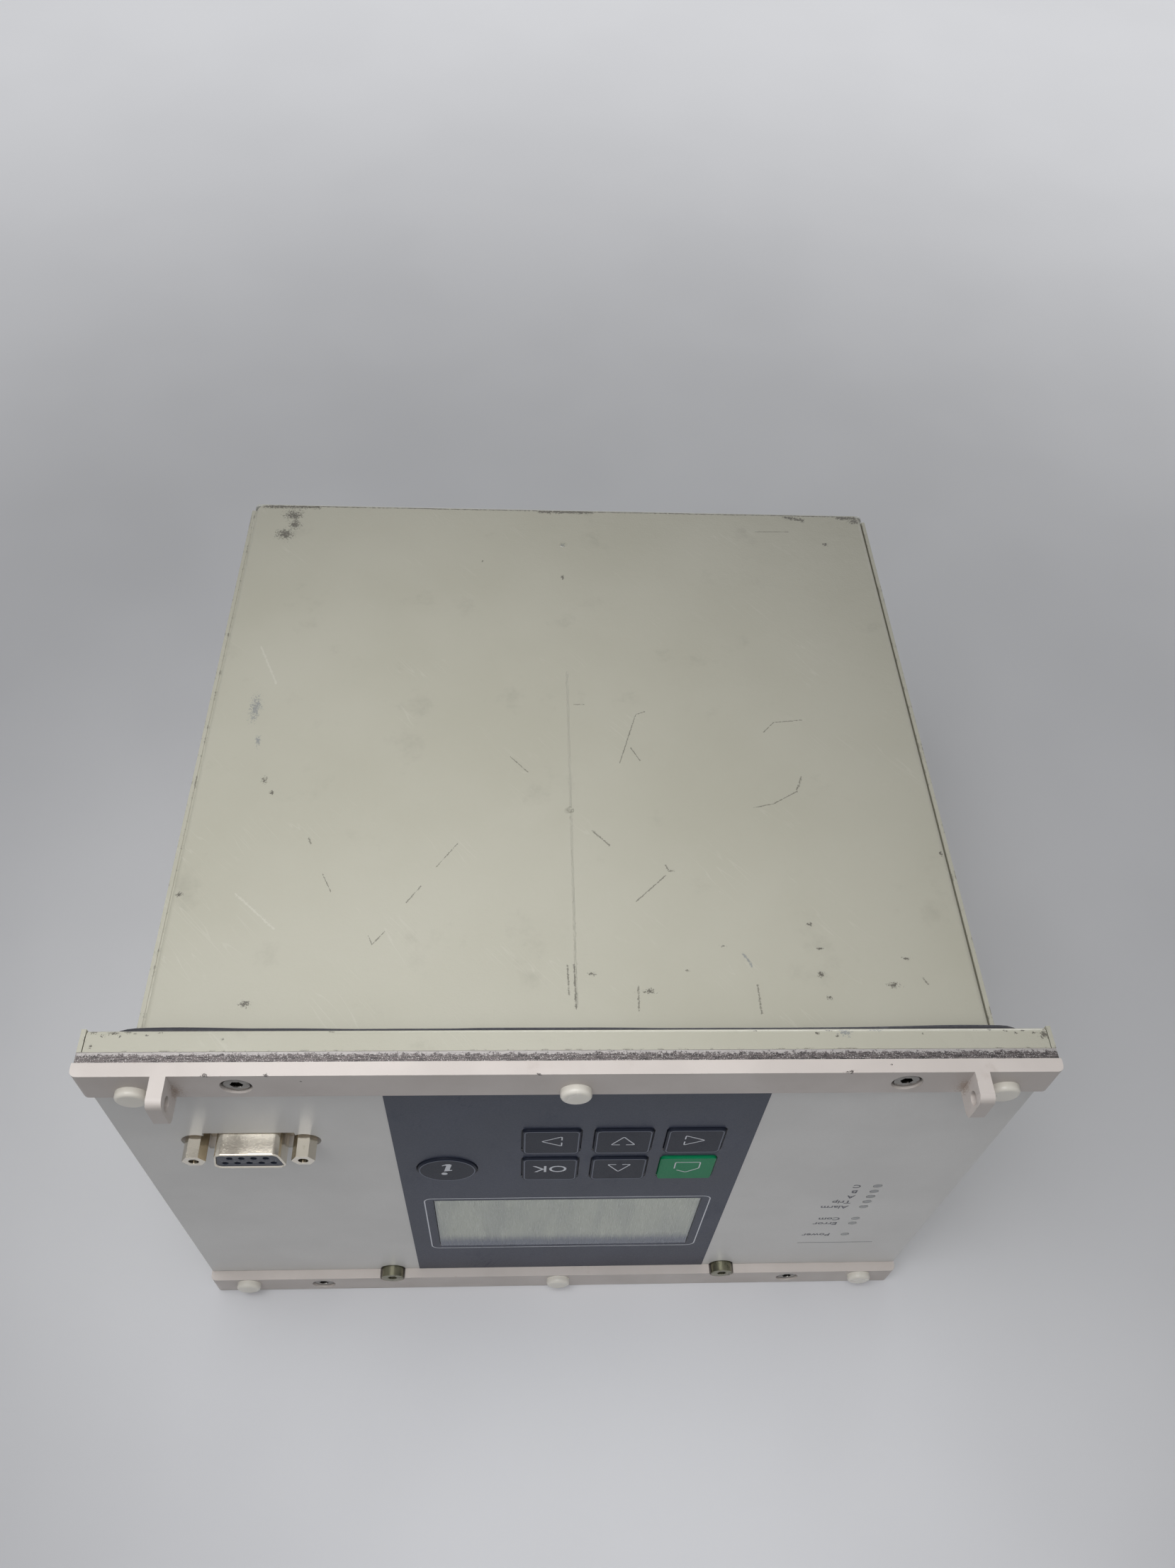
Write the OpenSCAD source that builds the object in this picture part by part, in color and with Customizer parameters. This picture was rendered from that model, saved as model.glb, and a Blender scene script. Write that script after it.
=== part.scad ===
// Protection relay for flush mounting in a switchgear panel, lying with its service top downwards.
// X runs across the front, Y runs from the front towards the terminals, and Z is up as it lies.
// The origin is the middle of the panel cut-out, on the panel face that the gasket seals against.
// All sizes are in millimetres.

/* [Front] */
// Width over the front rails
front_w = 208; // [204:1:216]
// Height over both front rails
front_h = 155; // [152:1:162]
// Height of one rail
rail_h = 10.3; // [9.5:0.1:11.5]
// Thickness of the rails
rail_t = 3.1; // [2.8:0.1:5]
// Radius on the ends of the rails
rail_end_r = 1.5; // [0.5:0.1:2.5]
// Thickness of the aluminium front plate
plate_t = 2.5; // [2:0.1:4]
// How far the plate and the folded lips stay inside the edge of the rails
front_inset = 0.3; // [0.1:0.1:0.8]
// Thickness of the front film
film_t = 0.4; // [0.2:0.1:0.8]
// Width of the dark field round the keys and the display
field_w = 86; // [82:1:100]
// Offset of the dark field from the middle of the front
field_x = 1; // [-4:0.5:4]

/* [Case] */
// How far the front stands out beside the case
rim_side = 7.6; // [6:0.1:9.4]
// How far the front stands out above and below the case
rim_top = 11.1; // [9.5:0.1:12.5]
// Depth of the case behind the flange
case_d = 183.7; // [175:0.1:220]
// Thickness of the folded steel sheet
sheet_t = 1; // [0.8:0.1:1.3]
// Inner radius of the folds
fold_in_r = 0.5; // [0.3:0.1:1]
// Depth of the lip that folds forward round the front
lip_d = 5.2; // [4.5:0.1:8]
// Height of the cover flanges that tuck inside the side sheets
cover_drop = 12; // [8:0.5:16]
// Gap between neighbouring sheets
seam = 0.2; // [0.1:0.05:0.4]
// Cut at the rear corners of the cover
corner_cut = 2; // [1:0.5:4]
// Width of the folded tabs that carry the back plate
tab_w = 10; // [8:0.5:10]
// Thickness of the back plate
back_t = 1; // [0.8:0.1:2]
// How far the back plate stays inside the case outline
back_inset = 0.5; // [0.3:0.1:1]
// Thickness of the panel gasket
gasket_t = 1.5; // [1:0.1:3]
// How far the gasket stays inside the lips
gasket_inset = 3.2; // [2:0.1:4]
// Distance of the first punch mark on the cover from the panel face
mark_y = 64.4; // [50:0.1:90]
// Spacing of the two punch marks
mark_pitch = 101.9; // [80:0.1:105]

/* [Rails] */
// Distance of the rail screws from the rail ends
rail_screw_in = 32.9; // [29:0.1:36]
// Diameter of the counterbores for the rail screws
bore_d = 6.8; // [6.2:0.1:7.4]
// Distance of the outer buffers from the rail ends
buffer_in = 10.8; // [8:0.1:11.5]
// Diameter of the buffers
buffer_d = 6.9; // [6:0.1:7.6]
// How far the buffers stand in front of the rails
buffer_proud = 1.9; // [1.5:0.1:2.5]
// Distance of the buffers from the inner edge of the lug rail
buffer_up = 1.9; // [1.8:0.1:3]
// Distance of the buffers from the inner edge of the notch rail
buffer_down = 3.7; // [2:0.1:5]
// Distance of the sealing lugs from the rail ends
lug_in = 18; // [17.2:0.1:20]
// Thickness of the sealing lugs
lug_t = 3.2; // [2.5:0.1:3.6]
// How far the sealing lugs stand in front of the rail
lug_reach = 6.5; // [6:0.1:8]
// Diameter of the sealing holes
lug_hole_d = 3.2; // [2.5:0.1:3.3]
// Distance of the notches from the middle of the front
notch_x = 50; // [46:0.5:56]
// Width of the notches
notch_w = 7.4; // [7:0.1:8]

/* [Display] */
// Width of the clear display pane
pane_w = 71; // [66:0.5:74]
// Height of the clear display pane
pane_h = 38.3; // [34:0.1:40]
// Distance of the middle of the pane from the lower edge of the front, as it lies
pane_up = 51.3; // [49.5:0.1:52.5]
// Width of the metal bezel beyond the pane
bezel_rim = 4.5; // [3:0.1:5]
// Thickness of the bezel sheet
bezel_t = 0.6; // [0.4:0.1:0.8]
// Thickness of the display glass
glass_t = 2; // [1.5:0.1:2.6]

/* [Keys] */
// Width of a key
key_w = 13.8; // [12:0.1:14]
// Height of a key
key_h = 14.3; // [12:0.1:14.6]
// Corner radius of a key
key_r = 1.6; // [0.5:0.1:3]
// Spacing of the key columns
key_pitch_x = 17.1; // [16.8:0.1:18]
// Spacing of the key rows
key_pitch_z = 17.8; // [17.4:0.1:18.6]
// Middle of the key block across the front
keys_x = 12.7; // [11:0.1:15]
// Middle of the key block in height
keys_z = 25.6; // [24.5:0.1:28]
// Diameter of the round information key
info_d = 14.7; // [12:0.1:16]
// Place of the information key across the front
info_x = -29.9; // [-32:0.1:-26]
// Height of the information key
info_z = 16.8; // [13:0.1:30]
// How far the keys stand in front of the film
key_rise = 0.6; // [0.3:0.05:1.2]
// Travel of a key
key_travel = 0.6; // [0.3:0.05:0.8]
// Gap round a key in its window
key_clear = 0.3; // [0.2:0.05:0.4]

/* [Status lamps] */
// Diameter of a lamp
lamp_d = 2.2; // [1.8:0.1:2.6]
// Spacing of the lamps within a group
lamp_pitch = 4.05; // [4:0.05:4.4]
// Step from the last lamp of a group to the next group
lamp_gap = 9.9; // [8:0.1:11]
// Distance of the lamps from the outside of the case
lamp_in = 13.8; // [12:0.1:20]
// Height of the first lamp
lamp_z = 0.5; // [0:0.1:6]

/* [Ports] */
// Distance of the front port from the outside of the case
port_in = 21.8; // [21:0.1:26]
// Height of the front port
port_z = 35.8; // [30:0.1:40]
// Spacing of the port screws
port_pitch = 25; // [24.6:0.01:25.6]
// Length of a port shell in front of its flange
port_l = 8; // [7:0.1:10]
// Height of a port flange
port_flange_h = 12.5; // [11.5:0.1:13]
// Width across the flats of a port screw
port_hex = 4.8; // [4.2:0.1:5.2]

/* [Rear terminals] */
// Spacing of the terminals in a plug
pole_pitch = 5.08; // [5:0.01:5.3]
// Number of terminals in a tall plug
tall_poles = 16; // [10:1:20]
// Number of terminals in the short plug
short_poles = 8; // [4:1:9]
// Width of a plug
plug_w = 15; // [13:0.5:18]
// Length of a plug behind its socket
plug_l = 20.2; // [16:0.1:24]
// How far the sockets stand behind the back plate
socket_proud = 2.8; // [1:0.1:5]
// Width of a socket
socket_w = 12; // [10:0.5:12.5]
// Width of the current terminal block
block_w = 32; // [28:0.5:36]
// Depth of the current terminal block behind the back plate
block_d = 15; // [12:0.5:18]
// Number of current terminals in a column
block_poles = 6; // [4:1:7]
// Spacing of the current terminals in a column
block_pitch = 15; // [13.5:0.5:16]
// How far the barriers stand above the current terminals
barrier_d = 3.5; // [2.5:0.1:3.9]
// Diameter of the earth stud
earth_d = 5; // [4:0.5:6]
// Length of the earth stud
earth_l = 12; // [11:0.5:18]

/* [Inside] */
// Thickness of the circuit boards
board_t = 1.6; // [1:0.1:2]
// Gap between the front plate and the display board
front_gap = 6.5; // [6.3:0.1:8]
// Gap between the display board and the backplane
stack_gap = 14; // [10:0.5:18]
// Depth of the card connectors on the backplane
connector_d = 8; // [6:0.5:12]
// Distance of the first card from the outside of the case
card_first = 32.4; // [28:0.1:34]
// Distance of the last card from the outside of the case
card_last = 30.4; // [28:0.1:32]
// Gap between the cards and the cover
card_margin = 5.4; // [4:0.1:7]

/* [Hidden] */
$fn = 48;

// Small amount by which a cut runs past the face that it opens
eps = 0.5;
// Clearance of a shank, pane or core in its hole
fit_gap = 0.15;

// Faces from the panel seat to the front
y_flange = -gasket_t;
y_lip = y_flange - lip_d;
y_plate = y_lip - plate_t;
y_film = y_plate - film_t;
field_t = 0.1;
y_face = y_film - field_t;
y_rail = y_plate - rail_t;

// Faces from the panel seat to the rear
y_rear = y_flange + case_d;
y_back = y_rear + back_t;
y_socket = y_back + socket_proud;
y_plug = y_socket + plug_l;

// Folded lips, and the case behind them
fold_r = fold_in_r + sheet_t;
case_w = front_w - 2 * rim_side;
case_h = front_h - 2 * rim_top;
collar_w = front_w - 2 * front_inset;
collar_h = front_h - 2 * front_inset;
in_w = case_w - 2 * sheet_t;
in_h = case_h - 2 * sheet_t;
side_drop = 0.6;
side_top = case_h / 2 - side_drop;
cover_w = in_w - 2 * seam;
flange_w = collar_w - 2 * sheet_t - 2 * seam;
tab_gap = 2;
tab_top = case_h / 2 - cover_drop - tab_gap;
mark_r = 3;
mark_deep = 0.35;

// Rails, screws and buffers
rail_in = front_h / 2 - rail_h;
rail_z = front_h / 2 - rail_h / 2;
rail_screw_x = front_w / 2 - rail_screw_in;
buffer_x = front_w / 2 - buffer_in;
lug_x = front_w / 2 - lug_in;
lug_r = 2;
lug_wall = 0.8;
lug_hole_up = 1;
lug_hole_y = y_rail - lug_reach + lug_wall + lug_hole_d / 2;
lug_hole_z = rail_z + lug_hole_up;
buffer_edge = 0.9;
stem_d = 2.4;
stem_short = 1;
stem_l = rail_t - stem_short;
screw_d = 3;
head_d = 5.5;
head_h = 1.9;
bore_deep = 2.3;
socket_af = 2.5;
notch_head_d = 6.4;
notch_head_h = rail_t;
block_end = y_flange - sheet_t;
screw_short = 0.4;
screw_end = block_end - screw_short;
nut_w = 9;
nut_gap = fold_in_r + seam;

// Display stack between the front plate and its board
y_board = y_lip + front_gap;
y_board_rear = y_board + board_t;
pane_z = pane_up - front_h / 2;
bezel_w = pane_w + 2 * bezel_rim;
bezel_h = pane_h + 2 * bezel_rim;
pane_seat = 1;
glass_w = bezel_w - 2 * bezel_t - 2 * fit_gap;
glass_h = bezel_h - 2 * bezel_t - 2 * fit_gap;
y_glass = y_lip + bezel_t;
y_light = y_glass + glass_t;
board_gap = 3;
board_w = cover_w - 2 * sheet_t - 2 * board_gap;
board_h = in_h - 2 * board_gap;
spacer_af = 5;
spacer_in = 4.5;
spacer_bore = 2.6;
spacer_floor = 1;
board_head_d = 4.5;

// Keys and the switches behind them
collar_over = 0.4;
collar_t = 0.8;
seat_gap = 0.1;
window_gap = 0.3;
collar_grow = 2 * (key_clear + collar_over);
window_grow = collar_grow + 2 * window_gap;
key_bevel = 0.35;
y_collar = y_plate + seat_gap;
switch_w = 6;
switch_h = 3.5;
plunger_d = 3.5;
plunger_h = 0.8;
y_plunger = y_board - switch_h - plunger_h;
plunger_gap = 0.2;
y_stem = y_plunger - key_travel - plunger_gap;
key_stem_d = 5;
// Places of the keys: right, down, left, confirm, up, cancel
key_at = [for (row = [0.5, -0.5], col = [-1, 0, 1])
  [keys_x + col * key_pitch_x, keys_z + row * key_pitch_z]];
info_at = [info_x, info_z];

// Status lamps: five, two and one from the top down as it lies
lamp_groups = [5, 2, 1];
lamp_x = case_w / 2 - lamp_in;
function lamps_before(g) = g == 0 ? 0 : lamps_before(g - 1) + lamp_groups[g - 1];
function lamp_height(g, i) =
  lamp_z - (lamps_before(g) - g + i) * lamp_pitch - g * lamp_gap;
lamp_at = [for (g = [0:len(lamp_groups) - 1], i = [0:lamp_groups[g] - 1])
  [lamp_x, lamp_height(g, i)]];
lamp_base_d = 3.6;
lamp_base_h = 1.2;

// Nine-way ports
port_x = -case_w / 2 + port_in;
shell_r = 1.9;
shell_half_h = 2.2;
shell_wide = 6.4;
shell_slope = 10;
shell_narrow = shell_wide - 2 * shell_half_h * tan(shell_slope);
shell_t = 0.5;
port_flange_t = 0.8;
port_flange_over = 5.8;
port_flange_w = port_pitch + port_flange_over;
port_cut_d = 7.3;
port_window_in = 2;
port_window_w = port_pitch - 2 * port_window_in;
port_window_gap = 0.5;
port_window_h = 2 * (shell_half_h + shell_r + port_window_gap);
port_core_in = 0.3;
contact_pitch = 2.77;
contact_row = 2.84;
contact_d = 1.3;
contact_bore = 1.5;
contact_in = 1.5;
jack_bore_d = 2.4;
jack_deep = 5;
jack_short = 0.2;
jack_l = port_l - jack_short;
jack_shank_d = 2.6;
jack_shank_l = 3;
contact_at = concat(
  [for (i = [-2:2]) [i * contact_pitch, -contact_row / 2]],
  [for (i = [-1.5:1.5]) [i * contact_pitch, contact_row / 2]]);

// Boards and cards inside
y_backplane = y_board_rear + stack_gap;
y_connector = y_backplane + board_t;
y_card = y_connector + connector_d;
card_rear_gap = 3;
y_card_rear = y_rear - card_rear_gap;
card_h = in_h - 2 * card_margin;
last_card = 4;
card_pitch = (case_w - card_first - card_last) / last_card;
function card_x(i) = -case_w / 2 + card_first + i * card_pitch;
function card_face(i) = card_x(i) + board_t;
power = 3;
guide_w = 6;
guide_deep = 3;
guide_end = 14;
connector_w = 7;
connector_h = 72;
header_w = 60;
header_h = 8;
header_z = -4;
post_d = 6;
post_x = board_w / 2 - 3 * spacer_in;

// Parts on the cards, with sizes away from the card, along it and up it
parts_back = 20;
y_parts = (y_card + y_card_rear) / 2 + parts_back;
ct_core = 20;
ct_tall = 18;
ct_pitch = 22;
ct_rows = floor((card_h / 2 - guide_deep - ct_core / 2 - fit_gap) / ct_pitch);
winding_d = 16;
winding_l = 25;
relay_size = [15.5, 29, 12.7];
relay_pitch = 16;
relay_rows = floor((card_h / 2 - guide_deep - relay_size[2] / 2 - fit_gap) / relay_pitch);
transformer_core = [22, 30, 34];
transformer_winding = [17, 40, 22];
transformer_z = -20;
capacitor_d = 16;
capacitor_l = 24;
capacitor_pitch = 20;
capacitor_z = 30;
chip_size = [3, 28, 28];
memory_size = [2.5, 20, 14];
memory_step = 35;
memory_z = 24;

// Rear terminals
plug_ends = 4;
tall_h = tall_poles * pole_pitch + plug_ends;
short_h = short_poles * pole_pitch + plug_ends;
short_z = -tall_h / 2 + short_h / 2;
// Card, middle height and number of terminals of each plug
plugs = [
  [1, 0, tall_poles], [2, 0, tall_poles], [power, 0, tall_poles], [last_card, short_z, short_poles]];
function plug_h(p) = p[2] * pole_pitch + plug_ends;
function plug_x(p) = card_face(p[0]) + socket_w / 2;
socket_in = 14;
entry_w = 3.4;
entry_deep = 9;
entry_x = -2.2;
well_d = 3.7;
well_deep = 2.2;
well_y = 11;
plug_screw_d = 3.4;
plug_screw_h = 1.4;
plug_slot_w = 0.7;
plug_step = 3;
window_fit = 0.4;
block_out = 4;
block_x = card_x(0) + block_out;
block_ends = 6;
block_h = block_poles * block_pitch + block_ends;
block_window = 0.8;
barrier_t = 1.8;
clamp_d = 8;
clamp_h = 2;
clamp_slot_w = 1.2;
clamp_slot_deep = 0.9;
remote_z = tall_h / 2 - port_flange_w / 2;
remote_x = card_face(last_card) + port_flange_h / 2;
remote_body_l = 10;
earth_in = 10.4;
earth_x = -case_w / 2 + earth_in;
earth_washer_d = 2 * earth_d;
earth_washer_t = 1;
earth_nut_h = 4;
earth_nut_af = 1.6 * earth_d;
back_screw_off = 0.5;
back_screw_in = tab_w / 2 + back_screw_off;
back_screw_x = in_w / 2 - back_screw_in;
back_screw_low = -in_h / 2 + back_screw_in;
back_screw_high = tab_top - back_screw_in;
back_screw_at = [for (x = [-1, 1], z = [back_screw_low, back_screw_high]) [x * back_screw_x, z]];
back_head_h = 1.8;
back_screw_l = 6;

// Shapes that repeat

// Extrudes a drawing of the front between two depths
module slab(y0, y1) {
  translate([0, y1, 0]) rotate([90, 0, 0]) linear_extrude(y1 - y0) children();
}

// Extrudes a drawing of the side between two places across the front
module profile_x(x0, x1) {
  translate([x0, 0, 0]) rotate([90, 0, 90]) linear_extrude(x1 - x0) children();
}

// Extrudes a drawing of the plan between two heights
module profile_z(z0, z1) {
  translate([0, 0, z0]) linear_extrude(z1 - z0) children();
}

// Round bar along Y
module rod(at, d, y0, y1) {
  translate([at[0], y0, at[1]]) rotate([-90, 0, 0]) cylinder(d = d, h = y1 - y0);
}

// Hexagonal bar along Y
module hex_bar(at, flats, y0, y1) {
  translate([at[0], y0, at[1]]) rotate([-90, 0, 0])
    cylinder(d = flats / cos(30), h = y1 - y0, $fn = 6);
}

// Rectangular block about a place on the front
module brick(at, w, h, y0, y1) {
  translate([at[0] - w / 2, y0, at[1] - h / 2]) cube([w, y1 - y0, h]);
}

// Rectangle with round corners
module round_rect(w, h, r) {
  square([w - 2 * r, h], center = true);
  square([w, h - 2 * r], center = true);
  for (x = [-1, 1], y = [-1, 1]) translate([x * (w / 2 - r), y * (h / 2 - r)]) circle(r);
}

// Screw with a plain round head, a recess and a shank
module cap_screw(at, y_head, d_head, h_head, d_shank, y_end) {
  difference() {
    union() {
      rod(at, d_head, y_head - h_head, y_head);
      rod(at, d_shank, y_head - eps, y_end);
    }
    hex_bar(at, socket_af, y_head - h_head - eps, y_head - h_head / 2);
  }
}

// Folded sheet

// Section of the flange and the lip: forward from the flange, and outward to the lip's face
module lip_section(reach) {
  translate([fold_r, -fold_r]) intersection() {
    difference() {
      circle(fold_r);
      circle(fold_in_r);
    }
    translate([-fold_r, 0]) square(fold_r);
  }
  translate([fold_r, -sheet_t]) square([lip_d - fold_r, sheet_t]);
  translate([0, -reach]) square([sheet_t, reach - fold_r]);
}

// Flange and lip along the top, or mirrored along the bottom
module lip_along_x(w, reach) {
  translate([0, y_flange, collar_h / 2]) rotate([90, 0, 90])
    translate([0, 0, -w / 2]) linear_extrude(w) mirror([1, 0]) lip_section(reach);
}

// Flange and lip up the right-hand side
module lip_along_z(z0, z1, reach) {
  translate([collar_w / 2, y_flange, z0]) linear_extrude(z1 - z0)
    rotate(-90) lip_section(reach);
}

// Sides and bottom of the case in one folded sheet
module case_wrapper() {
  color([0.70, 0.69, 0.60]) difference() {
    union() {
      slab(y_flange - sheet_t, y_rear) difference() {
        translate([0, (side_top - case_h / 2) / 2]) wrapper_outline(case_w, case_h / 2 + side_top, fold_r);
        translate([0, (side_top - case_h / 2) / 2 + sheet_t])
          wrapper_outline(in_w, case_h / 2 + side_top, fold_in_r);
      }
      mirror([0, 0, 1]) lip_along_x(collar_w - 2 * fold_r, (collar_h - in_h) / 2);
      for (side = [0, 1]) mirror([side, 0, 0]) {
        lip_along_z(-collar_h / 2, side_top, (collar_w - in_w) / 2);
        corner_tab();
        rear_tab();
      }
      brick([0, -in_h / 2 + tab_w / 2 - eps / 2], in_w - 2 * tab_w, tab_w + eps, y_rear - sheet_t, y_rear);
    }
    for (at = back_screw_at) rod(at, screw_d + 2 * fit_gap, y_rear - sheet_t - eps, y_rear + eps);
    for (side = [0, 1]) mirror([side, 0, 0])
      translate([in_w / 2 - eps, y_rear - corner_cut, side_top - corner_cut])
        cube([sheet_t + 2 * eps, corner_cut + eps, corner_cut + eps]);
  }
}

// Outline of the wrapper's section, square at the open top
module wrapper_outline(w, h, r) {
  round_rect(w, h, r);
  translate([-w / 2, 0]) square([w, h / 2]);
}

// End of the side lip, standing beyond its flange beside the cover's lip
module corner_tab() {
  translate([collar_w / 2 - sheet_t, y_lip, side_top - eps])
    cube([sheet_t, lip_d, collar_h / 2 - side_top + eps]);
}

// Tab that the side sheet folds inward to carry the back plate
module rear_tab() {
  low = -in_h / 2 - eps;
  translate([in_w / 2 - tab_w, y_rear - sheet_t, low]) cube([tab_w + eps, sheet_t, tab_top - low]);
}

// Removable cover, with flanges tucked inside the side sheets
module case_cover() {
  color([0.72, 0.71, 0.63]) difference() {
    union() {
      slab(y_flange - sheet_t, y_rear) difference() {
        translate([0, case_h / 2 - cover_drop / 2]) round_rect(cover_w, cover_drop, fold_r);
        translate([0, case_h / 2 - sheet_t - cover_drop / 2])
          round_rect(cover_w - 2 * sheet_t, cover_drop, fold_in_r);
      }
      lip_along_x(flange_w, collar_h / 2 - side_top - seam);
    }
    for (y = [mark_y, mark_y + mark_pitch])
      translate([0, y, case_h / 2 + mark_r - mark_deep]) sphere(mark_r);
    for (side = [0, 1]) mirror([side, 0, 0])
      translate([cover_w / 2, y_rear, case_h / 2 - cover_drop - eps])
        rotate([0, 0, 45]) cube([corner_cut * sqrt(2), corner_cut * sqrt(2), 2 * cover_drop + 2 * eps],
          center = true);
  }
}

// Flat sheet that closes the rear, with windows for the terminals
module back_plate() {
  color([0.78, 0.79, 0.77]) difference() {
    slab(y_rear, y_back) difference() {
      round_rect(case_w - 2 * back_inset, case_h - 2 * back_inset, fold_r);
      for (p = plugs) translate([plug_x(p), p[1]])
        square([socket_w + 2 * window_fit, plug_h(p) + 2 * window_fit], center = true);
      translate([remote_x, remote_z]) rotate(90) port_cut();
      translate([block_x, 0]) square([block_w / 2, block_h * block_window], center = true);
    }
    for (at = back_screw_at) rod(at, screw_d + 2 * fit_gap, y_rear - eps, y_back + eps);
  }
}

// Screws of the back plate
module back_screws() {
  color("silver") for (at = back_screw_at) translate([0, 2 * y_back, 0]) mirror([0, 1, 0])
    cap_screw(at, y_back, head_d, back_head_h, screw_d, y_back + back_screw_l);
}

// Rubber ring between the flange and the panel
module panel_gasket() {
  color([0.10, 0.10, 0.11]) slab(y_flange, 0) difference() {
    round_rect(collar_w - 2 * gasket_inset, collar_h - 2 * gasket_inset, 2 * fold_r);
    square([case_w + 2 * seam, case_h + 2 * seam], center = true);
  }
}

// Welded stud for the protective earth
module earth_stud() {
  color("silver") rod([earth_x, 0], earth_d, y_back, y_back + earth_l);
}

// Washer and nut on the earth stud
module earth_nut() {
  y_nut = y_back + earth_washer_t;
  color([0.75, 0.66, 0.42]) difference() {
    union() {
      rod([earth_x, 0], earth_washer_d, y_back, y_nut);
      hex_bar([earth_x, 0], earth_nut_af, y_nut, y_nut + earth_nut_h);
    }
    rod([earth_x, 0], earth_d + 2 * fit_gap, y_back - eps, y_nut + earth_nut_h + eps);
  }
}

// Front plate and films

// Window for the display pane
module pane_cut() {
  translate([field_x, pane_z]) square([pane_w + 2 * fit_gap, pane_h + 2 * fit_gap], center = true);
}

// Windows for the keys, larger than the keys by a given amount
module key_cuts(grow) {
  for (at = key_at) translate(at) round_rect(key_w + grow, key_h + grow, key_r);
  translate(info_at) circle(d = info_d + grow);
}

// Holes for the status lamps
module lamp_cuts() {
  for (at = lamp_at) translate(at) circle(d = lamp_d + 2 * fit_gap);
}

// Window for a port, with room for its two screws at the ends
module port_cut() {
  square([port_window_w, port_window_h], center = true);
  for (x = [-1, 1]) translate([x * port_pitch / 2, 0]) circle(d = port_cut_d);
}

// Clearance round the heads of the screws in the notches
module notch_cuts() {
  for (x = [-1, 1]) translate([x * notch_x, -rail_in]) circle(d = notch_w);
}

// Aluminium plate that carries the front
module front_plate() {
  color([0.76, 0.76, 0.78]) slab(y_plate, y_lip) difference() {
    square([collar_w, collar_h], center = true);
    pane_cut();
    key_cuts(window_grow);
    lamp_cuts();
    translate([port_x, port_z]) port_cut();
    for (x = [-1, 1]) {
      for (z = [-1, 1]) translate([x * rail_screw_x, z * rail_z]) circle(d = screw_d + 2 * fit_gap);
      translate([x * notch_x, -rail_in]) circle(d = screw_d + 2 * fit_gap);
    }
  }
}

// Pale film over the plate between the rails
module front_film() {
  color([0.74, 0.75, 0.74]) slab(y_film, y_plate) difference() {
    square([collar_w, 2 * rail_in - 2 * seam], center = true);
    pane_cut();
    key_cuts(2 * key_clear);
    lamp_cuts();
    notch_cuts();
    translate([port_x, port_z]) port_cut();
  }
}

// Dark printed field on the film round the keys and the display
module keypad_field() {
  color([0.24, 0.26, 0.33]) slab(y_face, y_film) difference() {
    translate([field_x, 0]) square([field_w, 2 * rail_in - 2 * seam], center = true);
    pane_cut();
    key_cuts(2 * key_clear);
    notch_cuts();
  }
}

// Rail without its cut-outs, as a plan with round ends
module rail_bar() {
  profile_z(rail_in, front_h / 2) {
    translate([-front_w / 2, y_rail + rail_end_r]) square([front_w, rail_t - rail_end_r]);
    translate([-front_w / 2 + rail_end_r, y_rail]) square([front_w - 2 * rail_end_r, rail_t]);
    for (x = [-1, 1]) translate([x * (front_w / 2 - rail_end_r), y_rail + rail_end_r]) circle(rail_end_r);
  }
}

// Counterbores for the screws, and holes for the buffers so far above the rail's inner edge
module rail_holes(up) {
  for (x = [-1, 1]) {
    rod([x * rail_screw_x, rail_z], screw_d + 2 * fit_gap, y_rail - eps, y_plate + eps);
    rod([x * rail_screw_x, rail_z], bore_d, y_rail - eps, y_rail + bore_deep);
  }
  for (x = [-1, 0, 1])
    rod([x * buffer_x, rail_in + up], stem_d + 2 * fit_gap, y_rail - eps, y_rail + stem_l + fit_gap);
}

// Ear with a hole for a lead seal
module sealing_lug() {
  profile_x(lug_x - lug_t / 2, lug_x + lug_t / 2) difference() {
    union() {
      translate([y_rail - lug_reach, rail_in + lug_r])
        square([lug_reach + rail_t / 2, rail_h - 2 * lug_r]);
      translate([y_rail - lug_reach + lug_r, rail_in])
        square([lug_reach + rail_t / 2 - lug_r, rail_h]);
      for (up = [lug_r, rail_h - lug_r])
        translate([y_rail - lug_reach + lug_r, rail_in + up]) circle(lug_r);
    }
    translate([lug_hole_y, lug_hole_z]) circle(d = lug_hole_d);
  }
}

// Plastic rail with the two sealing lugs
module lug_rail() {
  color([0.84, 0.82, 0.79]) difference() {
    union() {
      rail_bar();
      for (side = [0, 1]) mirror([side, 0, 0]) sealing_lug();
    }
    rail_holes(buffer_up);
  }
}

// Plastic rail with notches for the two plate screws
module notch_rail() {
  color([0.84, 0.82, 0.79]) mirror([0, 0, 1]) difference() {
    rail_bar();
    rail_holes(buffer_down);
    slab(y_rail - eps, y_plate + eps) mirror([0, 1]) notch_cuts();
  }
}

// Round buffers that press into the rails
module rail_buffers() {
  color([0.87, 0.86, 0.83]) for (x = [-1, 0, 1], z = [rail_in + buffer_up, -rail_in - buffer_down])
    translate([x * buffer_x, y_rail, z]) rotate([90, 0, 0]) {
      rotate_extrude() {
        square([buffer_d / 2, buffer_proud - buffer_edge]);
        square([buffer_d / 2 - buffer_edge, buffer_proud]);
        translate([buffer_d / 2 - buffer_edge, buffer_proud - buffer_edge]) circle(buffer_edge);
      }
      translate([0, 0, -stem_l]) cylinder(d = stem_d, h = stem_l + eps);
    }
}

// Socket screws that hold the rails and the plate
module rail_screws() {
  color([0.35, 0.35, 0.36]) for (x = [-1, 1], z = [-1, 1])
    cap_screw([x * rail_screw_x, z * rail_z], y_rail + bore_deep, head_d, head_h, screw_d, screw_end);
}

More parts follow.
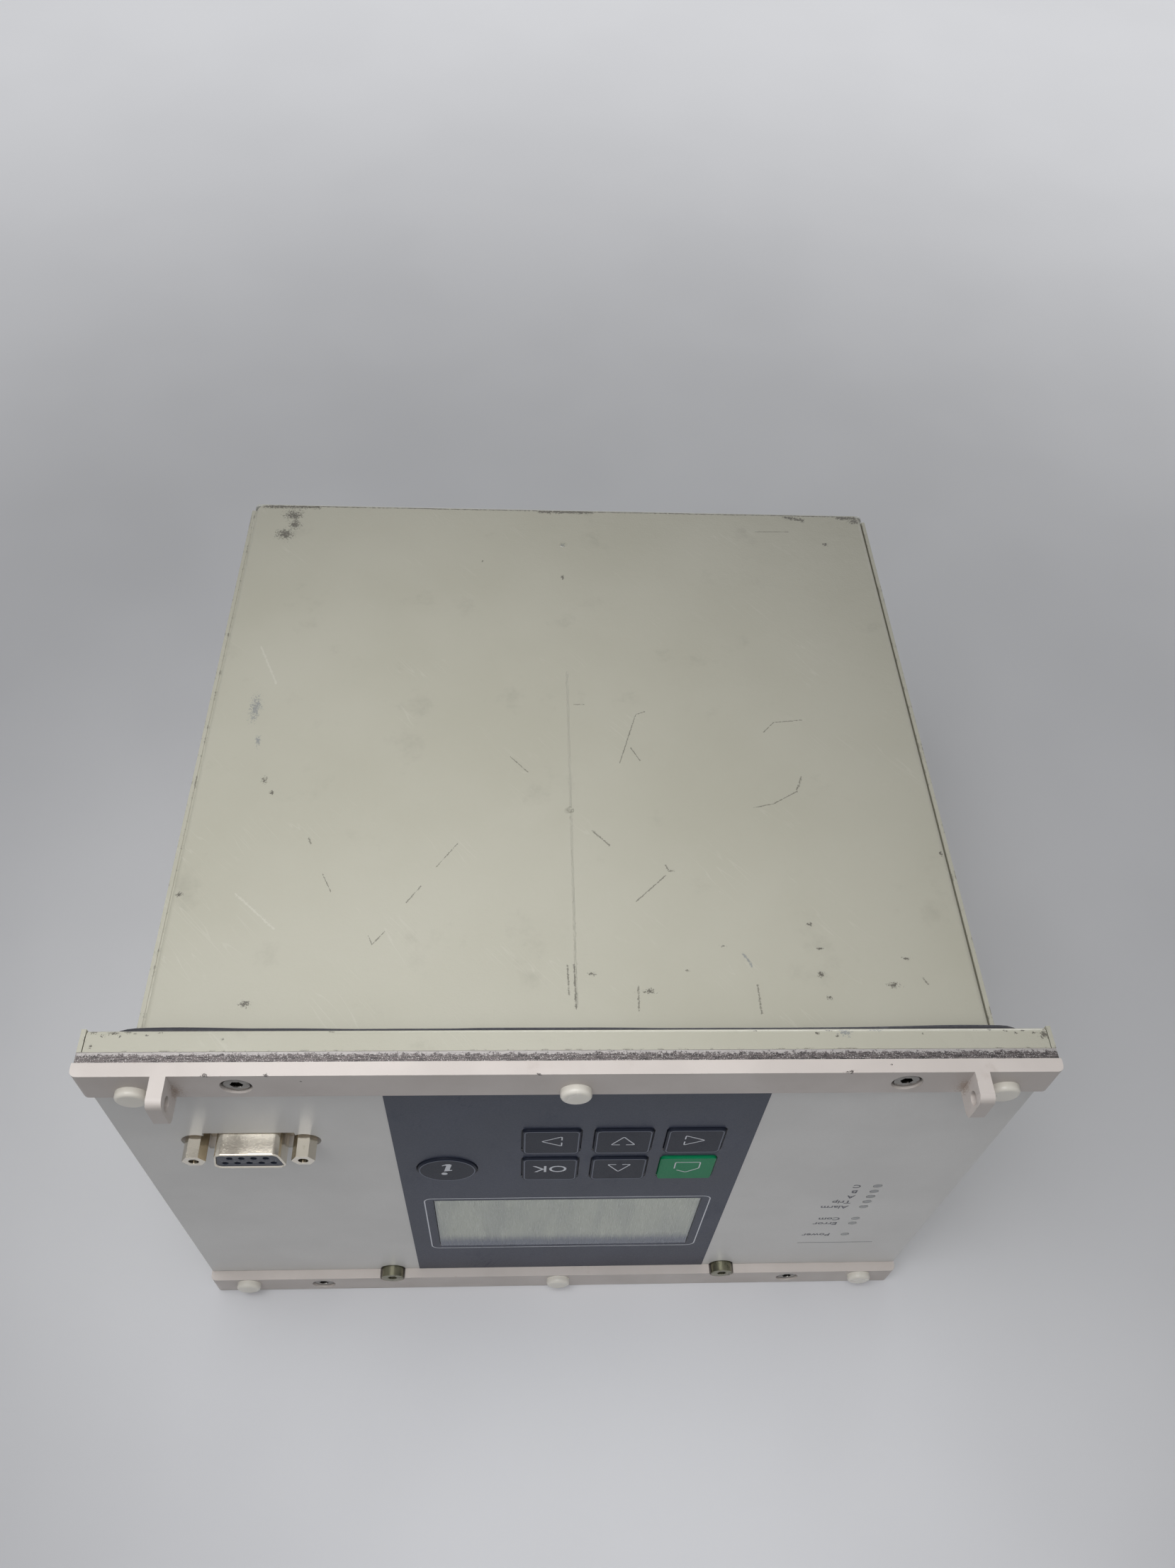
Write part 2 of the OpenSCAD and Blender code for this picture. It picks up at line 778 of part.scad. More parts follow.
// Cheese-head screws of the front plate, in the notches
module notch_screws() {
  color([0.72, 0.72, 0.72]) for (x = [-1, 1])
    cap_screw([x * notch_x, -rail_in], y_plate, notch_head_d, notch_head_h, screw_d, screw_end);
}

// Tapped blocks on the flange that take the screws of the front
module nut_blocks() {
  low = case_h / 2 + nut_gap;
  high = collar_h / 2 - sheet_t - nut_gap;
  notch_low = rail_in - nut_w / 2;
  color("darkgray") for (x = [-1, 1]) {
    for (z = [-1, 1]) difference() {
      brick([x * rail_screw_x, z * (low + high) / 2], nut_w, high - low, y_lip, block_end);
      rod([x * rail_screw_x, z * rail_z], screw_d + 2 * fit_gap, y_lip - eps, block_end + eps);
    }
    difference() {
      brick([x * notch_x, -(notch_low + high) / 2], nut_w, high - notch_low, y_lip, block_end);
      rod([x * notch_x, -rail_in], screw_d + 2 * fit_gap, y_lip - eps, block_end + eps);
    }
  }
}

// Display

// Clear pane in the plate, flush with the dark field
module display_window() {
  color([0.62, 0.66, 0.60]) brick([field_x, pane_z], pane_w, pane_h, y_face, y_lip);
}

// Folded metal frame round the display glass
module display_bezel() {
  color("gray") translate([field_x, 0, pane_z]) difference() {
    brick([0, 0], bezel_w, bezel_h, y_lip, y_board);
    brick([0, 0], bezel_w - 2 * bezel_t, bezel_h - 2 * bezel_t, y_glass, y_board + eps);
    brick([0, 0], pane_w - 2 * pane_seat, pane_h - 2 * pane_seat, y_lip - eps, y_glass + eps);
  }
}

// Glass of the display
module display_glass() {
  color([0.58, 0.62, 0.56]) brick([field_x, pane_z], glass_w, glass_h, y_glass, y_light);
}

// Light guide behind the display glass
module display_backlight() {
  color("white") brick([field_x, pane_z], glass_w, glass_h, y_light, y_board);
}

// Places of the spacers that carry the display board
function spacer_at() = [for (x = [-1, 0, 1], z = [-1, 1])
  [x * (board_w / 2 - spacer_in), z * (board_h / 2 - spacer_in)]];

// Circuit board behind the front plate
module display_board() {
  color([0.10, 0.36, 0.20]) slab(y_board, y_board_rear) difference() {
    square([board_w, board_h], center = true);
    for (at = spacer_at()) translate(at) circle(d = spacer_bore);
  }
}

// Tapped spacers between the front plate and the display board
module board_spacers() {
  color("silver") for (at = spacer_at()) difference() {
    hex_bar(at, spacer_af, y_lip, y_board);
    rod(at, spacer_bore, y_lip + spacer_floor, y_board + eps);
  }
}

// Screws of the display board
module board_screws() {
  shank = spacer_bore - 2 * fit_gap;
  color("silver") for (at = spacer_at()) translate([0, 2 * y_board_rear, 0]) mirror([0, 1, 0])
    cap_screw(at, y_board_rear, board_head_d, head_h, shank, 2 * y_board_rear - y_board + front_gap / 2);
}

// Keys

// Wedge-edged front of a square key, without its round corners
module bevel_cap(w, h) {
  y0 = y_face - key_rise;
  y1 = y_collar + eps;
  intersection() {
    profile_z(-h, h) bevel_plan(w, y0, y1);
    rotate([0, 90, 0]) profile_z(-w, w) bevel_plan(h, y0, y1);
  }
}

// Plan of a key with bevelled front corners
module bevel_plan(w, y0, y1) {
  polygon([[-w / 2 + key_bevel, y0], [w / 2 - key_bevel, y0], [w / 2, y0 + key_bevel], [w / 2, y1],
    [-w / 2, y1], [-w / 2, y0 + key_bevel]]);
}

// Square key with its collar behind the film and its stem
module square_key(i) {
  translate([key_at[i][0], 0, key_at[i][1]]) {
    intersection() {
      bevel_cap(key_w, key_h);
      slab(y_face - key_rise - eps, y_collar + 2 * eps) round_rect(key_w, key_h, key_r);
    }
    slab(y_collar, y_collar + collar_t) round_rect(key_w + collar_grow, key_h + collar_grow, key_r);
    rod([0, 0], key_stem_d, y_collar, y_stem);
  }
}

module key_right() { color([0.24, 0.26, 0.33]) square_key(0); }
module key_down() { color([0.24, 0.26, 0.33]) square_key(1); }
module key_left() { color([0.24, 0.26, 0.33]) square_key(2); }
module key_ok() { color([0.24, 0.26, 0.33]) square_key(3); }
module key_up() { color([0.24, 0.26, 0.33]) square_key(4); }
module key_cancel() { color([0.14, 0.55, 0.37]) square_key(5); }

// Round information key
module key_info() {
  rise = y_collar - y_face + key_rise;
  color([0.24, 0.26, 0.33]) {
    translate([info_x, y_collar, info_z]) rotate([90, 0, 0]) rotate_extrude()
      polygon([[0, 0], [info_d / 2, 0], [info_d / 2, rise - key_bevel], [info_d / 2 - key_bevel, rise],
        [0, rise]]);
    rod(info_at, info_d + collar_grow, y_collar, y_collar + collar_t);
    rod(info_at, key_stem_d, y_collar, y_stem);
  }
}

// Push switches on the display board, one behind each key
module key_switches() {
  color([0.15, 0.15, 0.16]) for (at = concat(key_at, [info_at])) {
    brick(at, switch_w, switch_w, y_board - switch_h, y_board);
    rod(at, plunger_d, y_plunger, y_board - eps);
  }
}

// Lamps that shine through the plate and the film
module status_lamps() {
  color([0.55, 0.60, 0.45]) for (at = lamp_at) {
    rod(at, lamp_d, y_film, y_board);
    rod(at, lamp_base_d, y_board - lamp_base_h, y_board);
  }
}

// Ports

// Section of a port shell: a trapezium with round corners, its wide side down
module shell_outline(r) {
  slope = [cos(shell_slope), sin(shell_slope)] * r;
  low = [shell_wide, -shell_half_h];
  high = [shell_narrow, shell_half_h];
  for (side = [0, 1]) mirror([side, 0]) {
    polygon([[0, -shell_half_h - r], low - [0, r], low + slope, high + slope, high + [0, r],
      [0, shell_half_h + r]]);
    translate(low) circle(r);
    translate(high) circle(r);
  }
}

// Metal shell with its flange, mouth towards -Y and flange face at zero
module port_shell_form() {
  difference() {
    union() {
      slab(-port_l, port_flange_t) shell_outline(shell_r);
      brick([0, 0], port_flange_w, port_flange_h, 0, port_flange_t);
    }
    slab(-port_l - eps, port_flange_t + eps) shell_outline(shell_r - shell_t);
    for (x = [-1, 1]) rod([x * port_pitch / 2, 0], jack_shank_d + 2 * fit_gap, -eps, port_flange_t + eps);
  }
}

// Insulating core of a port with its body behind the flange
module port_core_form(body_l) {
  difference() {
    union() {
      slab(-port_l + port_core_in, port_flange_t + eps) shell_outline(shell_r - shell_t - fit_gap);
      brick([0, 0], port_flange_w, port_flange_h, port_flange_t, port_flange_t + body_l);
    }
    for (at = contact_at) rod(at, contact_bore, -port_l, port_flange_t + body_l + eps);
    for (x = [-1, 1])
      rod([x * port_pitch / 2, 0], jack_shank_d + 2 * fit_gap, -eps, port_flange_t + jack_shank_l);
  }
}

// Hexagonal screws of a port, tapped for the plug's own screws
module port_screws_form() {
  for (x = [-1, 1]) difference() {
    union() {
      hex_bar([x * port_pitch / 2, 0], port_hex, -jack_l, 0);
      rod([x * port_pitch / 2, 0], jack_shank_d, -eps, jack_shank_l);
    }
    rod([x * port_pitch / 2, 0], jack_bore_d, -jack_l - eps, -jack_l + jack_deep);
  }
}

// Sets a port in the front plate
module at_front_port() {
  translate([port_x, y_lip, port_z]) children();
}

// Sets a port upright in the back plate
module at_remote_port() {
  translate([remote_x, y_rear, remote_z]) rotate([0, 90, 180]) children();
}

module port_shell() { color([0.66, 0.62, 0.54]) at_front_port() port_shell_form(); }
module port_core() {
  color([0.13, 0.14, 0.18]) at_front_port() port_core_form(front_gap - port_flange_t);
}
module port_contacts() {
  color([0.80, 0.68, 0.35]) at_front_port()
    for (at = contact_at) rod(at, contact_d, -port_l + contact_in, front_gap);
}
module port_screws() { color([0.70, 0.66, 0.60]) at_front_port() port_screws_form(); }
module remote_port_shell() { color([0.66, 0.62, 0.54]) at_remote_port() port_shell_form(); }
module remote_port_core() { color([0.13, 0.14, 0.18]) at_remote_port() port_core_form(remote_body_l); }
module remote_port_screws() { color([0.70, 0.66, 0.60]) at_remote_port() port_screws_form(); }

// Boards inside

// Board that joins the cards, behind the display board
module backplane_board() {
  color([0.10, 0.36, 0.20]) brick([0, 0], board_w, board_h, y_backplane, y_connector);
}

// Posts between the display board and the backplane
module backplane_posts() {
  color("silver") for (x = [-1, 1], z = [-1, 1])
    rod([x * post_x, z * (board_h / 2 - spacer_in)], post_d, y_board_rear, y_backplane);
}

// Connector between the display board and the backplane
module stacking_header() {
  color([0.16, 0.16, 0.17]) brick([0, header_z], header_w, header_h, y_board_rear, y_backplane);
}

// Connectors that hold the front edges of the cards
module card_connectors() {
  color([0.16, 0.16, 0.17]) for (i = [0:last_card])
    brick([card_x(i) + board_t / 2, 0], connector_w, connector_h, y_connector, y_card);
}

// Grooved guides on the bottom and under the cover
module card_guides() {
  color([0.20, 0.20, 0.21]) for (i = [0:last_card], z = [0, 1]) mirror([0, 0, z]) difference() {
    translate([card_x(i) + (board_t - guide_w) / 2, y_card + guide_end, card_h / 2 - guide_deep])
      cube([guide_w, y_card_rear - y_card - 2 * guide_end, card_margin + guide_deep]);
    translate([card_x(i) - fit_gap, y_card, card_h / 2 - guide_deep - eps])
      cube([board_t + 2 * fit_gap, y_card_rear - y_card, guide_deep + eps + fit_gap]);
  }
}

// Plug-in card
module card(i) {
  color([0.10, 0.36, 0.20]) translate([card_x(i), y_card, -card_h / 2])
    cube([board_t, y_card_rear - y_card, card_h]);
}

module input_card() { card(0); }
module relay_card_a() { card(1); }
module relay_card_b() { card(2); }
module power_card() { card(power); }
module cpu_card() { card(last_card); }

// Sealed part that stands on a card, about a place on the card's face
module on_card(i, y, z, size) {
  translate([card_face(i), y - size[1] / 2, z - size[2] / 2]) cube(size);
}

// Current transformers of the input card: a winding through each laminated core
module current_transformers() {
  color([0.45, 0.38, 0.26]) for (i = [-ct_rows:ct_rows]) {
    on_card(0, y_parts, i * ct_pitch, [ct_tall, ct_core, ct_core]);
    translate([card_face(0) + ct_tall / 2, y_parts - winding_l / 2, i * ct_pitch]) rotate([-90, 0, 0])
      cylinder(d = winding_d, h = winding_l);
  }
}

// Sealed output relays of the two relay cards
module output_relays() {
  color([0.85, 0.85, 0.82]) for (card = [1, 2], i = [-relay_rows:relay_rows])
    on_card(card, y_parts, i * relay_pitch, relay_size);
}

// Transformer of the supply on the power card: a winding through its core
module supply_transformer() {
  color([0.60, 0.54, 0.20]) {
    on_card(power, y_parts, transformer_z, transformer_core);
    on_card(power, y_parts, transformer_z, transformer_winding);
  }
}

// Smoothing capacitors on the power card
module supply_capacitors() {
  color([0.18, 0.22, 0.34]) for (i = [-1:1])
    translate([card_face(power), y_parts + i * capacitor_pitch, capacitor_z]) rotate([0, 90, 0])
      cylinder(d = capacitor_d, h = capacitor_l);
}

// Integrated circuits on the processor card
module processor_chips() {
  color([0.12, 0.12, 0.13]) {
    on_card(last_card, y_parts, 0, chip_size);
    for (z = [-1, 1]) on_card(last_card, y_parts - memory_step, z * memory_z, memory_size);
  }
}

// Rear terminals

// Barrier block for the current circuits
module current_block() {
  low = y_back + block_d - barrier_d;
  color([0.14, 0.14, 0.15]) translate([block_x, 0, 0]) difference() {
    brick([0, 0], block_w, block_h, y_back, y_back + block_d);
    for (x = [-1, 1], i = [0:block_poles - 1])
      brick([x * block_w / 4, block_height(i)], block_w / 2 - 1.5 * barrier_t, block_pitch - barrier_t,
        low, low + barrier_d + eps);
  }
}

function block_height(i) = (i - (block_poles - 1) / 2) * block_pitch;

// Slotted clamp screws of the current block
module current_screws() {
  low = y_back + block_d - barrier_d;
  color([0.72, 0.72, 0.70]) for (x = [-1, 1], i = [0:block_poles - 1])
    translate([block_x + x * block_w / 4, 0, block_height(i)]) difference() {
      rod([0, 0], clamp_d, low, low + clamp_h);
      brick([0, 0], clamp_d + eps, clamp_slot_w, low + clamp_h - clamp_slot_deep, low + clamp_h + eps);
    }
}

// Sockets on the cards that reach through the back plate
module plug_sockets() {
  color([0.20, 0.48, 0.26]) for (p = plugs)
    brick([plug_x(p), p[1]], socket_w, plug_h(p), y_rear - socket_in, y_socket);
}

// Height of a terminal in a plug
function pole_z(p, i) = p[1] + (i - (p[2] - 1) / 2) * pole_pitch;

// Screw terminal plugs, with wire entries behind and clamp screws at the side
module terminal_plugs() {
  color([0.22, 0.52, 0.28]) for (p = plugs) translate([plug_x(p), 0, 0]) difference() {
    profile_z(p[1] - plug_h(p) / 2, p[1] + plug_h(p) / 2) translate([0, y_socket])
      polygon([[-plug_w / 2, 0], [plug_w / 2, 0], [plug_w / 2, plug_l - plug_step],
        [plug_w / 2 - plug_step, plug_l], [-plug_w / 2, plug_l]]);
    for (i = [0:p[2] - 1]) {
      brick([entry_x, pole_z(p, i)], entry_w, entry_w, y_plug - entry_deep, y_plug + eps);
      translate([plug_w / 2 - well_deep, y_socket + well_y, pole_z(p, i)]) rotate([0, 90, 0])
        cylinder(d = well_d, h = well_deep + eps);
    }
  }
}

// Slotted clamp screws of the plugs
module plug_screws() {
  color([0.72, 0.72, 0.70]) for (p = plugs, i = [0:p[2] - 1])
    translate([plug_x(p) + plug_w / 2 - well_deep, y_socket + well_y, pole_z(p, i)]) rotate([0, 90, 0])
      difference() {
        cylinder(d = plug_screw_d, h = plug_screw_h);
        translate([-plug_slot_w / 2, -plug_screw_d, plug_screw_h / 2])
          cube([plug_slot_w, 2 * plug_screw_d, plug_screw_h]);
      }
}

case_wrapper();
case_cover();
back_plate();
back_screws();
panel_gasket();
earth_stud();
earth_nut();
front_plate();
front_film();
keypad_field();
lug_rail();
notch_rail();
rail_buffers();
rail_screws();
notch_screws();
nut_blocks();
display_window();
display_bezel();
display_glass();
display_backlight();
display_board();
board_spacers();
board_screws();
key_right();
key_down();
key_left();
key_ok();
key_up();
key_cancel();
key_info();
key_switches();
status_lamps();
port_shell();
port_core();
port_contacts();
port_screws();
backplane_board();
backplane_posts();
stacking_header();
card_connectors();
card_guides();
input_card();
relay_card_a();
relay_card_b();
power_card();
cpu_card();
current_transformers();
output_relays();
supply_transformer();
supply_capacitors();
processor_chips();
current_block();
current_screws();
plug_sockets();
terminal_plugs();
plug_screws();
remote_port_shell();
remote_port_core();
remote_port_screws();
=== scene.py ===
"""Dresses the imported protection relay: finishes for its solids, and the pieces that solids leave plain.

All sizes are in millimetres in the part's own frame: X runs across the front, Y runs from the front to the
terminals, and Z is up as the relay lies. They become metres only where a mesh, lamp or camera is made.
"""

import logging
import math
from dataclasses import dataclass, field
from enum import Enum
from typing import ClassVar, Iterator, Sequence

import bmesh
import bpy
from mathutils import Matrix, Vector, noise


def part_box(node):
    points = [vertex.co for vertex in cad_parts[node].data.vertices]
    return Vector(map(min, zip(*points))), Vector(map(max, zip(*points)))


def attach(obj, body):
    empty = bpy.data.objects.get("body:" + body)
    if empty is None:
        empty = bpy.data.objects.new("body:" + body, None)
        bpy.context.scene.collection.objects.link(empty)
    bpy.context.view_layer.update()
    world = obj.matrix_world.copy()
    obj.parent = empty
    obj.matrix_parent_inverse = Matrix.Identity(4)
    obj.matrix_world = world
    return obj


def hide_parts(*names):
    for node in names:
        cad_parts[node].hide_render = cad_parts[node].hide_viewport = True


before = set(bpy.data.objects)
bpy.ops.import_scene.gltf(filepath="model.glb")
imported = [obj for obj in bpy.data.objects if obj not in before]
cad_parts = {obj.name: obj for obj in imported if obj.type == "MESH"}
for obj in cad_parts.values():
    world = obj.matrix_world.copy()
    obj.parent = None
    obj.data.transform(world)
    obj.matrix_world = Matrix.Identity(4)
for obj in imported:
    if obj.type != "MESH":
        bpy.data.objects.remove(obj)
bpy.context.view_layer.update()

LOG = logging.getLogger("relay")
MM = 0.001
BODY = "relay"
VECTOR = "NodeSocketVector"
FLOAT = "NodeSocketFloat"
MARK_RESULTS = {"Mask": FLOAT, "Beyond": VECTOR}
SINGLE_RESULTS = ("DOT_PRODUCT", "LENGTH", "DISTANCE")
NOISE_MIDDLE = 0.5

Socket = bpy.types.NodeSocket
Value = Socket | float | Sequence[float]
Colour = tuple[float, float, float, float]
Point2 = tuple[float, float]
Point3 = tuple[float, float, float]

UPWARD: Point3 = (0.0, 0.0, 1.0)
INWARD: Point3 = (0.0, 1.0, 0.0)
FORWARD: Point3 = (0.0, -1.0, 0.0)
FACING_FRONT = Matrix.Rotation(math.pi / 2, 4, "X")
UPSIDE_DOWN = Matrix.Rotation(math.pi, 4, "Y")

# Heights of the cover's lip and of its level face behind the flange.
COVER_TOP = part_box("case_cover")[1].z / MM
CASE_TOP = 66.4

# How deep a blot on a level face reaches.
SPOT_DEPTH = 0.8

# Rounding of edges as they show: points closer than the reach are one, flatter folds than the angle stay.
WELD_REACH = 0.001
EDGE_STEPS = 2
EDGE_ANGLE = 38.0
NORMAL_WEIGHT = 100

# Drawn outlines: points closer than the reach are one, steps of an eased corner, sharpest mitre.
MERGE_REACH = 0.0005
EASE_STEPS = 4
MITRE_LIMIT = 0.35


def srgb(red: int, green: int, blue: int) -> Colour:
    """Turns a colour as a screen shows it into the linear values that shaders take.

    Args:
        red: Red share from 0 to 255.
        green: Green share from 0 to 255.
        blue: Blue share from 0 to 255.

    Returns:
        The linear colour, opaque.
    """
    linear = [
        share / 12.92 if share <= 0.04045 else ((share + 0.055) / 1.055) ** 2.4
        for share in (red / 255, green / 255, blue / 255)
    ]
    return (linear[0], linear[1], linear[2], 1.0)


class Graph:
    """Places shader nodes in one tree and joins them."""

    def __init__(self, tree: bpy.types.NodeTree) -> None:
        """Keeps the tree that the nodes go into."""
        self.tree = tree

    def node(self, kind: str, **settings: object) -> bpy.types.Node:
        """Adds a node.

        Args:
            kind: Blender's name for the type of node.
            settings: Values for the node's own properties.

        Returns:
            The new node.
        """
        made = self.tree.nodes.new(kind)
        for name, value in settings.items():
            setattr(made, name, value)
        return made

    def feed(self, socket: Socket, value: Value) -> None:
        """Links a socket to an output, or sets its own value."""
        if isinstance(value, bpy.types.NodeSocket):
            self.tree.links.new(value, socket)
        else:
            socket.default_value = value

    def math(self, kind: str, first: Value, second: Value = 0.0, clamp: bool = False) -> Socket:
        """Adds a sum of two values.

        Args:
            kind: Blender's name for the operation.
            first: First value.
            second: Second value.
            clamp: Whether the result stays between 0 and 1.

        Returns:
            The result's socket.
        """
        made = self.node("ShaderNodeMath", operation=kind, use_clamp=clamp)
        self.feed(made.inputs[0], first)
        self.feed(made.inputs[1], second)
        return made.outputs[0]

    def vector(self, kind: str, first: Value, second: Value | None = None) -> Socket:
        """Adds a vector operation.

        Args:
            kind: Blender's name for the operation.
            first: First vector.
            second: Second vector, or the factor of a SCALE.

        Returns:
            The result's socket.
        """
        made = self.node("ShaderNodeVectorMath", operation=kind)
        self.feed(made.inputs[0], first)
        if second is not None:
            self.feed(made.inputs["Scale"] if kind == "SCALE" else made.inputs[1], second)
        return made.outputs["Value" if kind in SINGLE_RESULTS else "Vector"]

    def mix(self, share: Value, first: Value, second: Value) -> Socket:
        """Blends two colours by a share and returns the result's socket."""
        made = self.node("ShaderNodeMix", data_type="RGBA")
        self.feed(made.inputs[0], share)
        self.feed(made.inputs[6], first)
        self.feed(made.inputs[7], second)
        return made.outputs[2]

    def tint(self, colour: Value, mask: Value, share: float, tone: Value) -> Socket:
        """Lays a tone over a colour.

        Args:
            colour: Colour below.
            mask: Where the tone lies.
            share: How strong the tone is at most.
            tone: Colour laid over it.

        Returns:
            The result's socket.
        """
        return self.mix(self.math("MULTIPLY", mask, share), colour, tone)

    def remap(self, value: Value, start: float, end: float, low: float = 0.0, high: float = 1.0) -> Socket:
        """Carries a range of values smoothly over to another range.

        Args:
            value: Value to carry over.
            start: Value that gives low.
            end: Value that gives high.
            low: Result at the start.
            high: Result at the end.

        Returns:
            The result's socket.
        """
        made = self.node("ShaderNodeMapRange", interpolation_type="SMOOTHSTEP")
        for name, given in (("Value", value), ("From Min", start), ("From Max", end), ("To Min", low),
                            ("To Max", high)):
            self.feed(made.inputs[name], given)
        return made.outputs["Result"]

    def noise(self, point: Value, scale: float, detail: float = 3.0, roughness: float = 0.5) -> Socket:
        """Adds a noise over points.

        Args:
            point: Place on the surface.
            scale: Noise cells per unit of length.
            detail: Number of finer layers.
            roughness: Weight of the finer layers.

        Returns:
            The noise's value, about 0.5 in the middle.
        """
        made = self.node("ShaderNodeTexNoise")
        self.feed(made.inputs["Vector"], point)
        made.inputs["Scale"].default_value = scale
        made.inputs["Detail"].default_value = detail
        made.inputs["Roughness"].default_value = roughness
        return made.outputs[0]

    def jag(self, point: Value, scale: float, reach: float) -> Socket:
        """Adds a rough noise about zero, for ragged borders.

        Args:
            point: Place on the surface.
            scale: Noise cells per unit of length.
            reach: Size of its whole range.

        Returns:
            The noise's value.
        """
        rough = self.noise(point, scale, detail=5.0, roughness=0.75)
        return self.math("MULTIPLY", self.math("SUBTRACT", rough, NOISE_MIDDLE), reach)

    def split(self, point: Value) -> bpy.types.NodeOutputs:
        """Returns the outputs X, Y and Z of a place."""
        made = self.node("ShaderNodeSeparateXYZ")
        self.feed(made.inputs["Vector"], point)
        return made.outputs

    def point(self) -> Socket:
        """Returns the place on the part in millimetres."""
        return self.vector("SCALE", self.node("ShaderNodeTexCoord").outputs["Object"], 1 / MM)

    def effect(self, tree: bpy.types.NodeTree, **given: Value) -> bpy.types.NodeOutputs:
        """Places a shared effect.

        Args:
            tree: Node group of the effect.
            given: Values for the group's inputs, by name.

        Returns:
            The outputs of the group.
        """
        made = self.node("ShaderNodeGroup", node_tree=tree)
        for name, value in given.items():
            self.feed(made.inputs[name], value)
        return made.outputs

    def bump(self, height: Value, depth: float) -> Socket:
        """Returns a normal that follows a height of so many millimetres."""
        made = self.node("ShaderNodeBump")
        made.inputs["Distance"].default_value = depth * MM
        self.feed(made.inputs["Height"], height)
        return made.outputs["Normal"]


class Effect(Enum):
    """Surface effects that several finishes share."""

    GRAIN = "grain"
    SOILING = "soiling"
    HAIRLINES = "hairlines"
    EDGES = "edges"
    LINE_MARK = "line mark"
    SPOT_MARK = "spot mark"


class EffectKit:
    """Shader node groups of the shared effects, each built once.

    A fade gives the values at which a mask starts and is full.
    """

    STAIN_FADE: ClassVar[Point2] = (1.0, 1.22)
    HAIR_FADE: ClassVar[Point2] = (0.016, 0.004)
    HAIR_PATCH: ClassVar[float] = 0.055
    HAIR_PATCH_FADE: ClassVar[Point2] = (0.95, 1.1)
    EDGE_SAMPLES: ClassVar[int] = 4
    EDGE_FADE: ClassVar[Point2] = (0.99, 0.82)
    WORN_PATCH: ClassVar[float] = 0.4
    WORN_FADE: ClassVar[Point2] = (1.0, 1.08)
    LINE_FADE: ClassVar[Point2] = (1.0, 0.4)
    SPOT_FADE: ClassVar[Point2] = (1.0, 0.6)
    MARK_LIFT: ClassVar[float] = 100.0

    def __init__(self) -> None:
        """Builds all groups."""
        self.trees: dict[Effect, bpy.types.NodeTree] = {}
        self._grain()
        self._soiling()
        self._hairlines()
        self._edges()
        self._line_mark()
        self._spot_mark()

    def __getitem__(self, effect: Effect) -> bpy.types.NodeTree:
        """Returns the group of an effect."""
        return self.trees[effect]

    def _begin(
        self, effect: Effect, inputs: dict[str, str], outputs: dict[str, str]
    ) -> tuple[Graph, bpy.types.NodeOutputs, bpy.types.NodeInputs]:
        """Starts a group.

        Args:
            effect: Effect that the group gives.
            inputs: Kind of each input socket, by name.
            outputs: Kind of each output socket, by name.

        Returns:
            The group's graph, its given values and the sockets that take its results.
        """
        tree = bpy.data.node_groups.new(effect.value, "ShaderNodeTree")
        for name, kind in inputs.items():
            tree.interface.new_socket(name, in_out="INPUT", socket_type=kind)
        for name, kind in outputs.items():
            tree.interface.new_socket(name, in_out="OUTPUT", socket_type=kind)
        self.trees[effect] = tree
        graph = Graph(tree)
        return graph, graph.node("NodeGroupInput").outputs, graph.node("NodeGroupOutput").inputs

    def _grain(self) -> None:
        """Uneven tone with patches of a given size."""
        graph, given, result = self._begin(Effect.GRAIN, {"Point": VECTOR, "Size": FLOAT}, {"Value": FLOAT})
        scaled = graph.vector("SCALE", given["Point"], graph.math("DIVIDE", 1.0, given["Size"]))
        graph.feed(result["Value"], graph.noise(scaled, 1.0))

    def _soiling(self) -> None:
        """Ragged stains of a given size that cover a given share."""
        graph, given, result = self._begin(
            Effect.SOILING, {"Point": VECTOR, "Size": FLOAT, "Cover": FLOAT}, {"Mask": FLOAT})
        scaled = graph.vector("SCALE", given["Point"], graph.math("DIVIDE", 1.0, given["Size"]))
        stain = graph.noise(scaled, 1.0, detail=6.0, roughness=0.65)
        graph.feed(result["Mask"], graph.remap(graph.math("ADD", stain, given["Cover"]), *self.STAIN_FADE))

    def _hairlines(self) -> None:
        """Fine scratches along one direction, in patches."""
        graph, given, result = self._begin(
            Effect.HAIRLINES, {"Point": VECTOR, "Axis": VECTOR, "Turn": FLOAT, "Length": FLOAT,
                               "Spacing": FLOAT, "Cover": FLOAT}, {"Mask": FLOAT})
        turn = graph.node("ShaderNodeVectorRotate", rotation_type="AXIS_ANGLE")
        for name, source in (("Vector", "Point"), ("Axis", "Axis"), ("Angle", "Turn")):
            graph.feed(turn.inputs[name], given[source])
        stretch = graph.node("ShaderNodeCombineXYZ")
        across = graph.math("DIVIDE", 1.0, given["Spacing"])
        graph.feed(stretch.inputs["X"], graph.math("DIVIDE", 1.0, given["Length"]))
        graph.feed(stretch.inputs["Y"], across)
        graph.feed(stretch.inputs["Z"], across)
        drawn = graph.vector("MULTIPLY", turn.outputs["Vector"], stretch.outputs["Vector"])
        waves = graph.math("SUBTRACT", graph.noise(drawn, 1.0, detail=1.0), NOISE_MIDDLE)
        patches = graph.math("ADD", graph.noise(given["Point"], self.HAIR_PATCH, detail=2.0), given["Cover"])
        lines = graph.remap(graph.math("ABSOLUTE", waves), *self.HAIR_FADE)
        shown = graph.remap(patches, *self.HAIR_PATCH_FADE)
        graph.feed(result["Mask"], graph.math("MULTIPLY", lines, shown))

